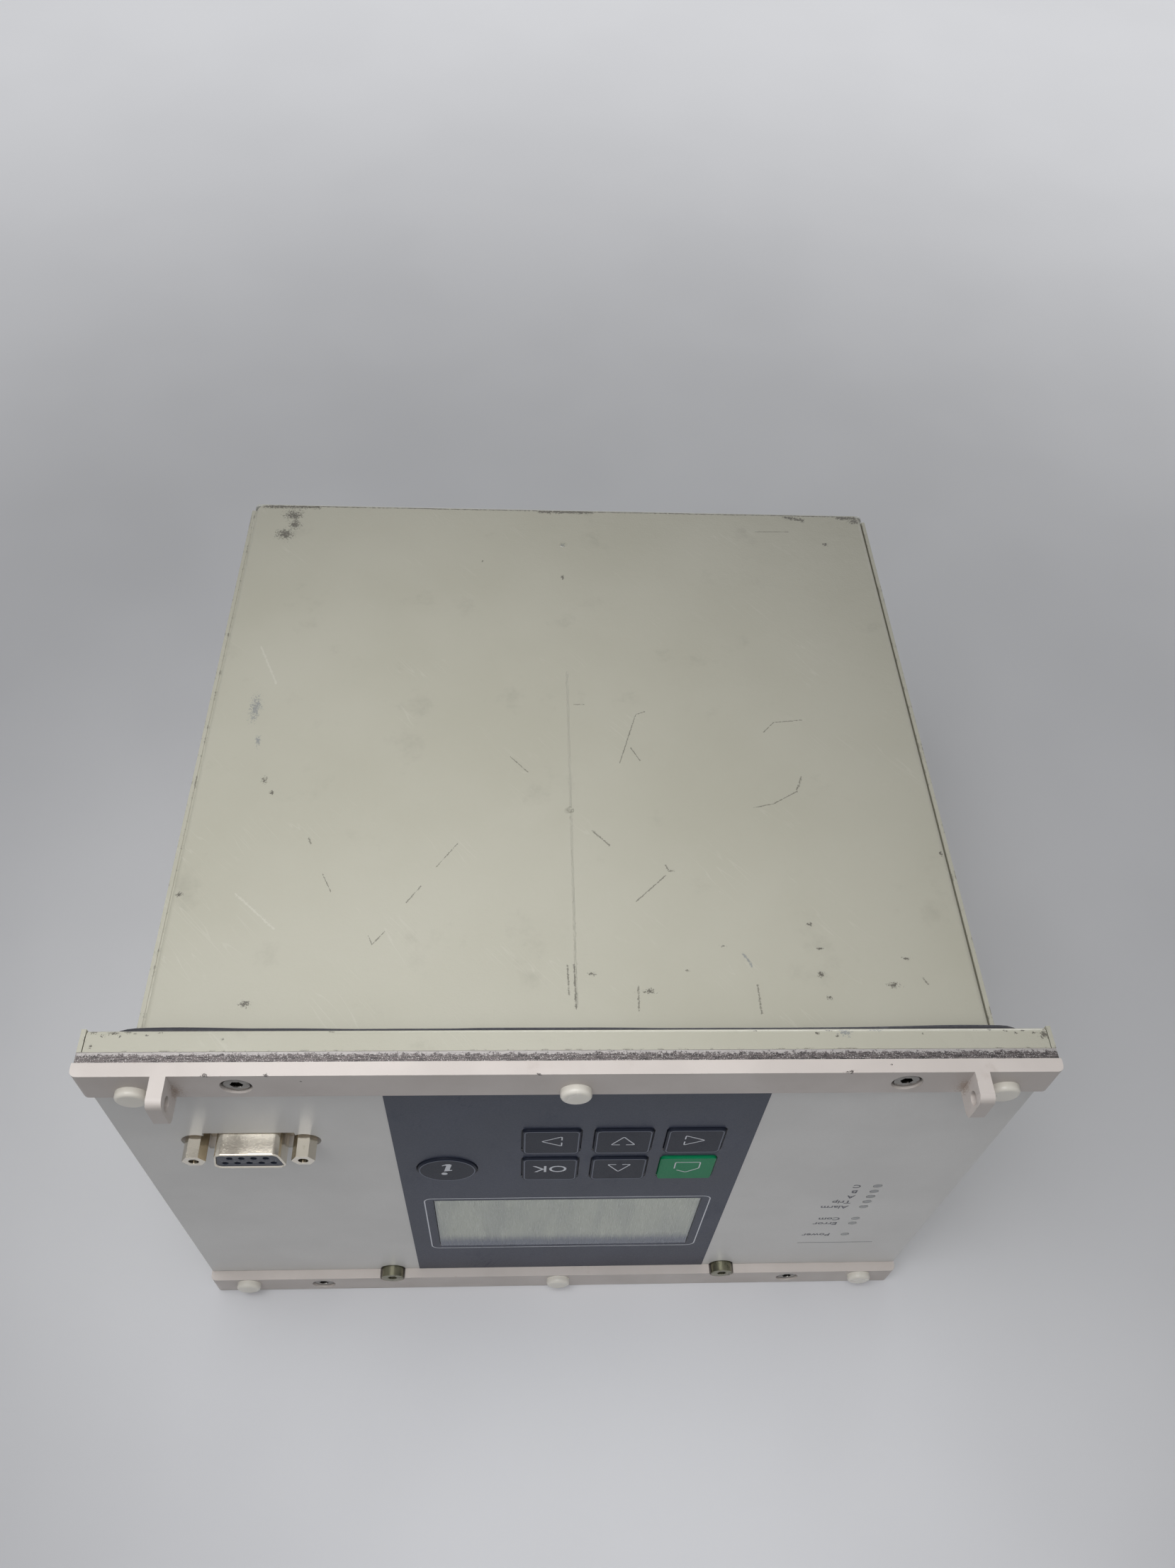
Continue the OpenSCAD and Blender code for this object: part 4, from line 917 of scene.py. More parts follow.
def cover_marks() -> tuple[Mark, ...]:
    """Returns the marks that years of handling left on the cover and its lip."""
    dirt, scratch, primer, rub = MarkKind.DIRT_AND_SHADE, MarkKind.SCRATCH, MarkKind.PRIMER, MarkKind.RUB_AND_SHADE
    return (
        *runs(scratch, CASE_TOP, 0.15, [(-28, 53.9), (-32.9, 46.9)], [(-36.3, 41.3), (-39.5, 36.7)],
              [(-47.7, 27.5), (-46.7, 25.1), (-44, 28.7)], [(-60.2, 44.8), (-57.7, 39.7)],
              [(21.2, 98.2), (18.7, 97.2), (13.6, 80.1)], [(16.8, 85.3), (19, 81)],
              [(53.2, 91.3), (56.4, 94.8), (64.3, 95.8)], [(47.6, 65.7), (53, 67), (59.7, 71.1)],
              [(23.4, 44.7), (15.7, 37.1)], [(1.9, 100.6), (4.8, 100.6)], [(-15.2, 81.9), (-10.6, 76.8)],
              [(60.5, 174), (70.9, 174.2)]),
        *runs(scratch, CASE_TOP, 0.24, [(5.8, 58), (10.2, 53.3)], [(23.6, 47.7), (24.2, 46.1), (25.4, 46)],
              [(82, 16.2), (82.8, 14.7)], [(-1.2, 19.6), (-1, 12.1)], [(0.3, 19.7), (0.6, 8.5)],
              [(15, 14.1), (14.8, 8.1)], [(42.7, 14.5), (42.8, 7.2)], [(-64.7, 55.3), (-63.9, 53.7)],
              [(59.6, 71.6), (60.6, 73.6), (61.4, 76)]),
        *runs(dirt, CASE_TOP, 0.8, [(-92, 181.6), (-76, 181.7)], [(-7, 181.7), (9, 181.7)],
              [(71, 181.2), (76.2, 179.9)], [(88, 181.4), (93, 181.4)]),
        *runs(dirt, CASE_TOP, 0.22, [(-76, 182), (92, 182)]),
        *runs(primer, CASE_TOP, 0.3, [(40.2, 22.6), (41.6, 20.6), (41.9, 19.4)]),
        *runs(rub, CASE_TOP, 0.3, [(-85.5, 121), (-79.4, 107)], [(-80, 38.9), (-69.8, 29.4)]),
        *runs(MarkKind.RIDGE, CASE_TOP, 0.25, [(0.2, 112.7), (0.7, 9.1)]),
        *spots(MarkKind.RIDGE, CASE_TOP, (0.2, 64.6, 0.8, 0.8)),
        *spots(dirt, CASE_TOP, (-83.2, 177.7, 2.4, 2.1), (-85, 168.8, 2.1, 2.2), (-82.4, 173.6, 1.5, 2.2),
               (92.9, 180.2, 1.6, 1.4), (81.8, 168.6, 0.7, 0.7), (-0.4, 151.6, 0.45, 0.8),
               (-24.6, 158.1, 0.3, 0.5),
               (4.5, 17.4, 0.8, 0.5), (58, 17.2, 0.8, 0.6), (79, 21.4, 0.8, 0.4), (74.8, 14.4, 1.3, 0.7),
               (57.1, 30.8, 0.8, 0.4), (58.7, 24.1, 0.7, 0.3), (26.7, 18.2, 0.4, 0.3), (35.8, 24.8, 0.6, 0.2),
               (17.6, 12.9, 1.2, 0.6), (59.2, 11.1, 0.6, 0.5), (-78, 73.4, 0.6, 1), (-75.6, 69.4, 0.5, 0.6),
               (-73.6, 9.8, 1, 0.7), (-93.3, 38.8, 0.7, 0.5), (93.8, 51.6, 0.4, 0.6)),
        *spots(primer, CASE_TOP, (-83.8, 98, 1.2, 3.8), (-81.5, 86.8, 0.6, 1.7), (-0.2, 166.2, 0.7, 0.7)),
        *spots(dirt, COVER_TOP, (-97.1, -2.3, 1, 0.5), (-101.2, -2, 0.8, 0.4), (-94, -2, 0.6, 0.4),
               (-101, -5.4, 0.3, 0.5), (-74.3, -3.9, 0.3, 0.2), (101.8, -3.5, 0.9, 0.9),
               (102.8, -2, 0.6, 0.5)),
        *spots(primer, COVER_TOP, (64.7, -2.1, 1.4, 0.5), (58.1, -2.9, 1.2, 0.8), (103, -3.8, 0.6, 1)),
        *runs(dirt, COVER_TOP, 0.2, [(92.2, -1.9), (93.8, -2.7)], [(86, -2), (87, -2.4)]),
        *spots(dirt, COVER_TOP, (52, -3, 0.45, 0.3), (54.6, -2.3, 0.7, 0.22), (56.2, -3.7, 0.3, 0.4),
               (75, -3.2, 0.25, 0.2), (95.6, -3.1, 0.4, 0.24), (97.2, -2.5, 0.5, 0.2), (99.6, -3.1, 0.3, 0.3),
               (90, -2.2, 0.6, 0.25), (38.4, -2.3, 0.6, 0.16), (-99, -3.1, 0.5, 0.3),
               (-95.6, -3.2, 0.4, 0.25), (-92.4, -2.5, 0.4, 0.22), (-90, -3, 0.3, 0.2),
               (-87.4, -2.3, 0.5, 0.2), (-52, -2.2, 0.5, 0.16)),
    )


def rail_marks() -> tuple[Mark, ...]:
    """Returns the grime with painted shade in the lugs' corners, the painted shade in the screws' bores, and
    the nicks along the rails.
    """
    # Grime with painted shade in the inner corners where the lugs meet the rails.
    grime_and_shade = [((side * 84.0, -12.4, 70.4), (1.5, 1.2, 2.6)) for side in (-1, 1)]
    nicks = [((-76.5, -12.2, 77.4), (0.6, 0.4, 0.4)), ((-64.2, -12.2, 77.4), (0.5, 0.5, 0.4)),
             ((-57.4, -12.4, 74.6), (0.3, 0.3, 0.4)), ((57.9, -12.1, 77.4), (0.8, 0.3, 0.4)),
             ((66.7, -10.4, 77.5), (0.25, 0.25, 0.4)), ((-87.2, -15.2, 76.4), (0.4, 0.4, 0.4)),
             ((88, -18.4, 74), (0.3, 0.4, 0.4)), ((-8, -12.2, 77.4), (0.5, 0.3, 0.3))]
    # Painted shade: the screws' bores are darkened, as the counterbores lie in shade.
    bore_shade = [((side * 71.1, -10.9, rise * 72.35), (4.6, 1.4, 4.6)) for side in (-1, 1) for rise in (-1, 1)]
    return (*(SpotMark(MarkKind.RUB_AND_SHADE, *place) for place in grime_and_shade),
            *(SpotMark(MarkKind.DIRT_AND_SHADE, *place) for place in nicks),
            *(SpotMark(MarkKind.DIRT_AND_SHADE, *place, ragged=False) for place in bore_shade))


class Wardrobe:
    """Finishes by name, with the material of each made when it is first used."""

    def __init__(self, kit: EffectKit) -> None:
        """Keeps the shared effects and lists the finishes."""
        self.kit = kit
        self.made: dict[str, bpy.types.Material] = {}
        self.finishes = {finish.name: finish for finish in self._list()}

    @staticmethod
    def _list() -> Iterator[Finish]:
        """Yields every finish of the relay."""
        paint = dict(colour=srgb(186, 184, 170), roughness=0.38, shade=srgb(180, 178, 163),
                     rub=srgb(206, 204, 193), chip=srgb(66, 60, 53), primer=srgb(112, 118, 126))
        yield SheetPaint("case_paint", **paint)
        yield SheetPaint("cover_paint", **paint, marks=cover_marks())
        yield SheetPaint("back_paint", srgb(198, 199, 194), 0.42, srgb(188, 189, 184),
                         rub=srgb(214, 214, 210), chip=srgb(88, 84, 78), primer=srgb(120, 124, 130),
                         edge_cover=0.34)
        yield BareMetal("steel", srgb(182, 180, 176), 0.28, srgb(112, 106, 98), 0.42)
        yield BareMetal("screw_steel", srgb(134, 131, 126), 0.24, srgb(70, 66, 62), 0.46, shade_from=-11.8)
        yield BareMetal("olive_steel", srgb(138, 136, 116), 0.3, srgb(62, 62, 50), 0.47)
        yield BareMetal("brass", srgb(206, 174, 102), 0.28, srgb(120, 96, 52), 0.42)
        yield BareMetal("port_nickel", srgb(224, 217, 203), 0.18, srgb(166, 152, 128), 0.38)
        yield Rubber("gasket_rubber", srgb(44, 44, 50), 0.62, srgb(92, 92, 98))
        yield ScuffedPlate("plate_aluminium", srgb(116, 109, 108), 0.42, dark=srgb(62, 58, 58),
                           fleck_and_highlight=srgb(222, 217, 214), window=(-74.6, -8.0, 35.8),
                           highlight_reach=(30.0, 12.0, 16.0), torn_from=-7.4)
        yield PrintedFilm("film_pale", srgb(208, 207, 205), 0.34, srgb(201, 200, 198))
        yield PrintedFilm("film_dark", srgb(50, 56, 74), 0.36, srgb(45, 51, 67))
        yield PrintedFilm("key_dark", srgb(34, 38, 51), 0.4, srgb(30, 34, 46), gloss=0.14)
        # Painted highlight: the pale line round the dark keys' faces.
        yield PrintedFilm("key_rim_highlight", srgb(104, 109, 124), 0.4, srgb(94, 99, 114))
        yield PrintedFilm("key_green", srgb(6, 130, 84), 0.4, srgb(4, 120, 77), gloss=0.14)
        yield PrintedFilm("pale_print", srgb(208, 211, 217), 0.4, srgb(199, 202, 209))
        yield PrintedFilm("grey_print", srgb(100, 101, 108), 0.4, srgb(90, 91, 98))
        yield MouldedPlastic("rail_plastic", srgb(214, 206, 201), 0.42, srgb(206, 198, 193),
                             srgb(150, 126, 106), 0.4, rail_marks(), front_shade=0.4)
        yield MouldedPlastic("buffer_plastic", srgb(226, 222, 213), 0.3, srgb(219, 215, 205),
                             srgb(178, 162, 140), 0.34)
        yield DisplayPane("display_clear", srgb(176, 181, 170), 0.24, streak=srgb(198, 202, 192),
                          cool_and_shade=srgb(78, 86, 108), cool_height=-42.4, cool_depth=8.0, side_middle=1.0,
                          side_reach=36.2, side_fade=1.8)
        yield PrintedFilm("display_grey", srgb(160, 168, 156), 0.2, srgb(150, 158, 148))
        yield MouldedPlastic("light_white", srgb(232, 232, 228), 0.5, srgb(224, 224, 220),
                             srgb(190, 184, 170), 0.3)
        yield CircuitBoard("board_green", srgb(26, 92, 52), 0.34, srgb(48, 122, 74))
        yield MouldedPlastic("part_black", srgb(38, 39, 42), 0.42, srgb(46, 47, 50), srgb(92, 88, 82), 0.36)
        yield MouldedPlastic("port_core_blue", srgb(42, 48, 62), 0.36, srgb(50, 56, 70),
                             srgb(88, 92, 102), 0.36)
        yield MouldedPlastic("lamp_lens", srgb(150, 152, 150), 0.18, srgb(134, 136, 136),
                             srgb(104, 104, 104), 0.3)
        yield WoundWire("winding_lacquer", srgb(166, 104, 52), 0.32, srgb(96, 56, 30))
        yield MouldedPlastic("relay_white", srgb(224, 223, 216), 0.4, srgb(214, 213, 206),
                             srgb(170, 164, 150), 0.3)
        yield MouldedPlastic("capacitor_sleeve", srgb(40, 52, 92), 0.32, srgb(48, 60, 100),
                             srgb(92, 96, 112), 0.3)
        yield MouldedPlastic("plug_green", srgb(42, 128, 82), 0.42, srgb(36, 116, 74),
                             srgb(120, 128, 108), 0.38)

    def material(self, name: str) -> bpy.types.Material:
        """Returns the material of a finish."""
        if name not in self.made:
            self.made[name] = self.finishes[name].material(self.kit)
        return self.made[name]

    def dress(self, piece: bpy.types.Object, name: str) -> bpy.types.Object:
        """Gives a piece one finish all over and returns the piece."""
        material = self.material(name)
        if not piece.material_slots:
            piece.data.materials.append(material)
        for place in piece.material_slots:
            place.material = material
        return piece


def soften(node: str, width: float) -> None:
    """Rounds the edges of a solid as they show, without a change to the solid itself.

    Args:
        node: Name of the CAD node.
        width: How far each edge is rounded.
    """
    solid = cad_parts[node]
    weld = solid.modifiers.new("weld", "WELD")
    weld.merge_threshold = WELD_REACH * MM
    bevel = solid.modifiers.new("bevel", "BEVEL")
    bevel.width = width * MM
    bevel.segments = EDGE_STEPS
    bevel.limit_method = "ANGLE"
    bevel.angle_limit = math.radians(EDGE_ANGLE)
    bevel.use_clamp_overlap = True
    normals = solid.modifiers.new("normals", "WEIGHTED_NORMAL")
    normals.weight = NORMAL_WEIGHT
    normals.keep_sharp = False


def skin(rings: int, sides: int, closed: bool) -> list[tuple[int, ...]]:
    """Joins rings of points, one after another, into a tube.

    Args:
        rings: Number of rings.
        sides: Number of points in each ring.
        closed: Whether the last ring meets the first; otherwise both ends get a face.

    Returns:
        Corner numbers of each face.
    """
    faces: list[tuple[int, ...]] = []
    for ring in range(rings if closed else rings - 1):
        here, there = ring * sides, (ring + 1) % rings * sides
        for side in range(sides):
            after = (side + 1) % sides
            faces.append((here + side, here + after, there + after, there + side))
    if not closed:
        faces += [tuple(range(sides)), tuple(range((rings - 1) * sides, rings * sides))]
    return faces


def add_mesh(
    name: str, points: Sequence[Vector], faces: Sequence[Sequence[int]], smooth: bool = True
) -> bpy.types.Object:
    """Adds a mesh piece.

    Args:
        name: Name of the piece.
        points: Corners in millimetres.
        faces: Corner numbers of each face.
        smooth: Whether its faces are shaded as one surface.

    Returns:
        The new object.
    """
    mesh = bpy.data.meshes.new(name)
    mesh.from_pydata([tuple(Vector(point) * MM) for point in points], [], [list(face) for face in faces])
    form = bmesh.new()
    form.from_mesh(mesh)
    bmesh.ops.recalc_face_normals(form, faces=form.faces)
    form.to_mesh(mesh)
    form.free()
    for face in mesh.polygons:
        face.use_smooth = smooth
    piece = bpy.data.objects.new(name, mesh)
    bpy.context.scene.collection.objects.link(piece)
    return piece


def settle(name: str, curve: bpy.types.Curve, place: Matrix) -> bpy.types.Object:
    """Turns a flat filled curve into a closed mesh piece.

    Args:
        name: Name of the piece.
        curve: Curve or text in its own plane, in metres.
        place: Transform that sets the plane on the part.

    Returns:
        The new object, at the origin with its place in its mesh.
    """
    drawn = bpy.data.objects.new(name + "_curve", curve)
    bpy.context.scene.collection.objects.link(drawn)
    bpy.context.view_layer.update()
    mesh = bpy.data.meshes.new_from_object(drawn.evaluated_get(bpy.context.evaluated_depsgraph_get()))
    bpy.data.objects.remove(drawn)
    mesh.name = name
    mesh.materials.clear()
    form = bmesh.new()
    form.from_mesh(mesh)
    bmesh.ops.remove_doubles(form, verts=form.verts, dist=MERGE_REACH * MM)
    bmesh.ops.transform(form, matrix=place, verts=form.verts)
    bmesh.ops.recalc_face_normals(form, faces=form.faces)
    form.to_mesh(mesh)
    form.free()
    piece = bpy.data.objects.new(name, mesh)
    bpy.context.scene.collection.objects.link(piece)
    return piece


def add_plate(
    name: str, outlines: Sequence[Sequence[Point2]], front: float, depth: float
) -> bpy.types.Object:
    """Adds a thin plate that faces the front.

    Args:
        name: Name of the piece.
        outlines: Closed outlines across the front and up it; one inside another is a hole.
        front: Depth of its front face.
        depth: Thickness of the plate.

    Returns:
        The new object.
    """
    curve = bpy.data.curves.new(name, "CURVE")
    curve.dimensions = "2D"
    curve.fill_mode = "BOTH"
    curve.extrude = depth / 2 * MM
    for outline in outlines:
        line = curve.splines.new("POLY")
        line.points.add(len(outline) - 1)
        for corner, (x, z) in zip(line.points, outline):
            corner.co = (x * MM, z * MM, 0.0, 1.0)
        line.use_cyclic_u = True
    return settle(name, curve, Matrix.Translation((0.0, (front + depth / 2) * MM, 0.0)) @ FACING_FRONT)


def add_letters(
    name: str, text: str, place: Point3, size: float, depth: float, bold: float = 0.0, align: str = "CENTER",
    steps: int = 4
) -> bpy.types.Object:
    """Adds letters that face the front, upside down as the relay lies.

    Args:
        name: Name of the piece.
        text: The letters.
        place: Point of the letters that the alignment gives, half-way through them.
        size: Size of the type.
        depth: Thickness of the letters.
        bold: How far their outlines are widened.
        align: Blender's name for the alignment across.
        steps: Number of stretches in each curve of an outline.

    Returns:
        The new object.
    """
    curve = bpy.data.curves.new(name, "FONT")
    curve.body = text
    curve.size = size * MM
    curve.extrude = depth / 2 * MM
    curve.offset = bold * MM
    curve.resolution_u = steps
    curve.align_x, curve.align_y = align, "CENTER"
    return settle(name, curve, Matrix.Translation(Vector(place) * MM) @ UPSIDE_DOWN @ FACING_FRONT)


def arc(centre: Point2, radius: float, start: float, end: float, steps: int = 6) -> list[Point2]:
    """Returns points along an arc.

    Args:
        centre: Middle of the arc.
        radius: Radius of the arc.
        start: Angle of the first point in degrees.
        end: Angle of the last point in degrees.
        steps: Number of stretches.

    Returns:
        The points, in order.
    """
    angles = [math.radians(start + (end - start) * step / steps) for step in range(steps + 1)]
    return [(centre[0] + radius * math.cos(a), centre[1] + radius * math.sin(a)) for a in angles]


def circle(centre: Point2, radius: float, count: int) -> list[Point2]:
    """Returns so many points round a circle."""
    return arc(centre, radius, 0, 360 - 360 / count, count - 1)


def rounded(width: float, height: float, radius: float, centre: Point2 = (0.0, 0.0)) -> list[Point2]:
    """Returns the outline of a rectangle with round corners about a centre."""
    x, z = width / 2 - radius, height / 2 - radius
    corners = ((x, z, 0), (-x, z, 90), (-x, -z, 180), (x, -z, 270))
    return [point for across, up, turn in corners
            for point in arc((centre[0] + across, centre[1] + up), radius, turn, turn + 90)]


def stroke(path: Sequence[Point2], width: float) -> list[Point2]:
    """Outlines an open line with mitred corners.

    Args:
        path: Corner points of the line.
        width: Width of the line.

    Returns:
        The closed outline.
    """
    places = [Vector(point) for point in path]
    steps = [(after - before).normalized() for before, after in zip(places, places[1:])]
    left, right = [], []
    for number, place in enumerate(places):
        into, out = steps[max(number - 1, 0)], steps[min(number, len(steps) - 1)]
        side = Vector((-into.y, into.x))
        lean = (side + Vector((-out.y, out.x))).normalized()
        reach = lean * (width / 2 / max(lean.dot(side), MITRE_LIMIT))
        left.append(tuple(place + reach))
        right.append(tuple(place - reach))
    return left + right[::-1]


def eased(path: Sequence[Point2], radius: float) -> list[Point2]:
    """Rounds the inner corners of an open line.

    Args:
        path: Corner points of the line.
        radius: How far from a corner the rounding starts.

    Returns:
        The points of the eased line.
    """
    places = [Vector(point) for point in path]
    found = [tuple(places[0])]
    for before, corner, after in zip(places, places[1:], places[2:]):
        start = corner + (before - corner).normalized() * radius
        end = corner + (after - corner).normalized() * radius
        for step in range(EASE_STEPS + 1):
            share = step / EASE_STEPS
            found.append(tuple(start.lerp(corner, share).lerp(corner.lerp(end, share), share)))
    return found + [tuple(places[-1])]


class Assembly:
    """A group of pieces that is built and dressed together."""

    def build(self, wardrobe: Wardrobe) -> Iterator[bpy.types.Object]:
        """Builds and dresses the pieces.

        Args:
            wardrobe: Finishes.

        Yields:
            Each piece that is ready.
        """
        raise NotImplementedError

    @staticmethod
    def solid(wardrobe: Wardrobe, node: str, finish: str, edge: float = 0.0) -> bpy.types.Object:
        """Dresses a CAD solid.

        Args:
            wardrobe: Finishes.
            node: Name of the CAD node.
            finish: Name of its finish.
            edge: How far its edges are rounded to the eye.

        Returns:
            The solid's object.
        """
        if edge:
            soften(node, edge)
        return wardrobe.dress(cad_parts[node], finish)

    @staticmethod
    def carried(
        wardrobe: Wardrobe, piece: bpy.types.Object, finish: str, slot: str, body: str = BODY
    ) -> bpy.types.Object:
        """Dresses a new piece and sets it on a body.

        Args:
            wardrobe: Finishes.
            piece: The new piece.
            finish: Name of its finish.
            slot: Material slot that it stands for; not used.
            body: Body that carries it.

        Returns:
            The piece.
        """
        wardrobe.dress(piece, finish)
        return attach(piece, body)


@dataclass
class FoldedCase(Assembly):
    """Painted sheets, back plate and the rubber ring behind the flange."""

    BEAD: ClassVar[tuple[Point2, ...]] = (
        (-95.5, 65.1), (-95.5, 65.74), (-95.34, 65.64), (-95.1, 65.66), (-94.85, 65.84), (-94.7, 65.6),
        (-95.1, 65.0))

    bead_span: Point2 = (0.2, 180.0)
    bead_steps: int = 12
    sheet_edge: float = 0.1
    screw_edge: float = 0.15
    stud_edge: float = 0.3
    nut_edge: float = 0.25
    hole_w: float = 193.2
    hole_h: float = 133.2
    ring_front: float = -1.5
    ring_rise: float = 0.2
    ring_bulge: float = 1.3
    bulge_at: float = 85.0
    bulge_reach: float = 15.0
    ring_corner: float = 8.0
    ring_wave: float = 0.35
    ring_step: float = 3.0
    wave_scale: float = 0.03
    wave_seed: float = 3.1
    rear_wave: float = 0.3
    rear_scale: float = 0.05
    rear_seed: float = 9.7
    rim_share: float = 0.05
    rim_front: float = 0.7
    rim_rear: float = 0.15

    def build(self, wardrobe: Wardrobe) -> Iterator[bpy.types.Object]:
        """Dresses the sheets and builds the ring."""
        yield self.solid(wardrobe, "case_wrapper", "case_paint", self.sheet_edge)
        yield self.solid(wardrobe, "case_cover", "cover_paint", self.sheet_edge)
        yield self.solid(wardrobe, "back_plate", "back_paint", self.sheet_edge)
        yield self.solid(wardrobe, "back_screws", "steel", self.screw_edge)
        yield self.solid(wardrobe, "earth_stud", "steel", self.stud_edge)
        yield self.solid(wardrobe, "earth_nut", "brass", self.nut_edge)
        ring = self.ring()
        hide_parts("panel_gasket")
        yield self.carried(wardrobe, ring, "gasket_rubber", "gasket_rubber")
        yield self.carried(wardrobe, self.seam_bead(), "case_paint", "case_paint")

    def seam_bead(self) -> bpy.types.Object:
        """Builds the paint that bridges the seam between the cover and the left side sheet.

        Returns:
            The bead.
        """
        (start, end), count = self.bead_span, self.bead_steps
        points = [Vector((x, start + (end - start) * step / count, z))
                  for step in range(count + 1) for x, z in self.BEAD]
        return add_mesh("seam_bead", points, skin(count + 1, len(self.BEAD), closed=False))

    @staticmethod
    def wave(place: Vector, scale: float, seed: float) -> float:
        """Returns a smooth wave along the ring, between -1 and 1."""
        return noise.noise(Vector((place.x * scale, seed, place.z * scale)))

    def ring_path(self, width: float, height: float) -> list[Vector]:
        """Sets places closely along the ring's outline.

        Args:
            width: Width of the ring.
            height: Height of the ring.

        Returns:
            The places, in order.
        """
        outline = rounded(width, height, self.ring_corner)
        dense: list[Vector] = []
        for (x, z), (to_x, to_z) in zip(outline, outline[1:] + outline[:1]):
            here, there = Vector((x, 0.0, z)), Vector((to_x, 0.0, to_z))
            count = max(1, round((there - here).length / self.ring_step))
            dense += [here.lerp(there, step / count) for step in range(count)]
        return dense

    def ring(self) -> bpy.types.Object:
        """Builds the rubber ring, whose outer edge waves where it is squeezed.

        Returns:
            The ring.
        """
        low, high = (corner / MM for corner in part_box("panel_gasket"))
        path = self.ring_path(high.x - low.x, high.z - low.z)
        half_w, half_h = self.hole_w / 2, self.hole_h / 2
        points: list[Vector] = []
        for place in path:
            away = Vector((place.x / high.x, 0.0, place.z / high.z)).normalized()
            bulge = math.exp(-(((abs(place.x) - self.bulge_at) / self.bulge_reach) ** 2))
            wave = self.wave(place, self.wave_scale, self.wave_seed)
            outer = place + away * (self.ring_rise + self.ring_bulge * bulge + self.ring_wave * wave)
            inner = Vector((max(-half_w, min(half_w, place.x)), 0.0, max(-half_h, min(half_h, place.z))))
            rim = outer.lerp(inner, self.rim_share)
            rear = self.rear_wave * max(0.0, self.wave(place, self.rear_scale, self.rear_seed))
            section = ((inner, self.ring_front), (rim, self.ring_front),
                       (outer, self.ring_front * self.rim_front), (outer, rear - self.rim_rear), (rim, rear),
                       (inner, 0.0))
            points += [Vector((spot.x, depth, spot.z)) for spot, depth in section]
        return add_mesh("gasket_ring", points, skin(len(path), len(section), closed=True))


@dataclass
class FrontPlates(Assembly):
    """Aluminium plate, films, rails and their screws, and the words by the lamps."""

    plate_edge: float = 0.12
    rail_edge: float = 0.35
    screw_edge: float = 0.2
    notch_screw_edge: float = 0.25
    word_size: float = 3.1
    word_start: float = 78.2
    word_depth: float = 0.03
    word_bold: float = 0.05
    word_steps: int = 3
    words: tuple[str, ...] = ("C", "B", "A", "Trip", "Alarm", "Com", "Error", "Power")
    lamp_top: float = 0.5
    lamp_pitch: float = 4.05
    lamp_gap: float = 9.9
    lamp_groups: tuple[int, ...] = (5, 2, 1)
    rule_span: Point2 = (70.0, 92.4)
    rule_height: float = -47.0
    rule: float = 0.3

    def build(self, wardrobe: Wardrobe) -> Iterator[bpy.types.Object]:
        """Dresses the plates and rails and builds the print."""
        yield self.solid(wardrobe, "front_plate", "plate_aluminium", self.plate_edge)
        yield self.solid(wardrobe, "front_film", "film_pale")
        yield self.solid(wardrobe, "keypad_field", "film_dark")
        for node in ("lug_rail", "notch_rail"):
            yield self.solid(wardrobe, node, "rail_plastic", self.rail_edge)
        yield self.solid(wardrobe, "rail_buffers", "buffer_plastic")
        yield self.solid(wardrobe, "rail_screws", "screw_steel", self.screw_edge)
        yield self.solid(wardrobe, "notch_screws", "olive_steel", self.notch_screw_edge)
        yield self.solid(wardrobe, "nut_blocks", "steel", self.screw_edge)
        yield self.solid(wardrobe, "status_lamps", "lamp_lens")
        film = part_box("front_film")[0].y / MM
        for word, height in zip(self.words, self.lamp_heights()):
            yield self.carried(wardrobe, self.word(word, height, film), "grey_print", "film_dark")
        rule = rounded(self.rule_span[1] - self.rule_span[0], self.rule, self.rule / 3,
                       (sum(self.rule_span) / 2, self.rule_height))
        line = add_plate("lamp_rule", [rule], film - self.word_depth / 2, self.word_depth)
        yield self.carried(wardrobe, line, "grey_print", "film_dark")

    def lamp_heights(self) -> Iterator[float]:
        """Yields the height of each lamp, from the top down as the relay lies."""
        height = self.lamp_top
        for group, count in enumerate(self.lamp_groups):
            for lamp in range(count):
                if group or lamp:
                    height -= self.lamp_pitch if lamp else self.lamp_gap
                yield height

    def word(self, text: str, height: float, film: float) -> bpy.types.Object:
        """Builds a word by a lamp, upside down as the relay lies.

        Args:
            text: The word.
            height: Height of its lamp.
            film: Depth of the film's face.

        Returns:
            The word's piece.
        """
        place = (self.word_start, film - self.word_depth / 2, height)
        return add_letters(f"lamp_word_{text.lower()}", text, place, self.word_size, self.word_depth,
                           self.word_bold, "LEFT", self.word_steps)


class Sign(Enum):
    """Sign on a key."""

    RIGHT = "right"
    DOWN = "down"
    LEFT = "left"
    OK = "ok"
    UP = "up"
    CANCEL = "cancel"
    INFO = "info"


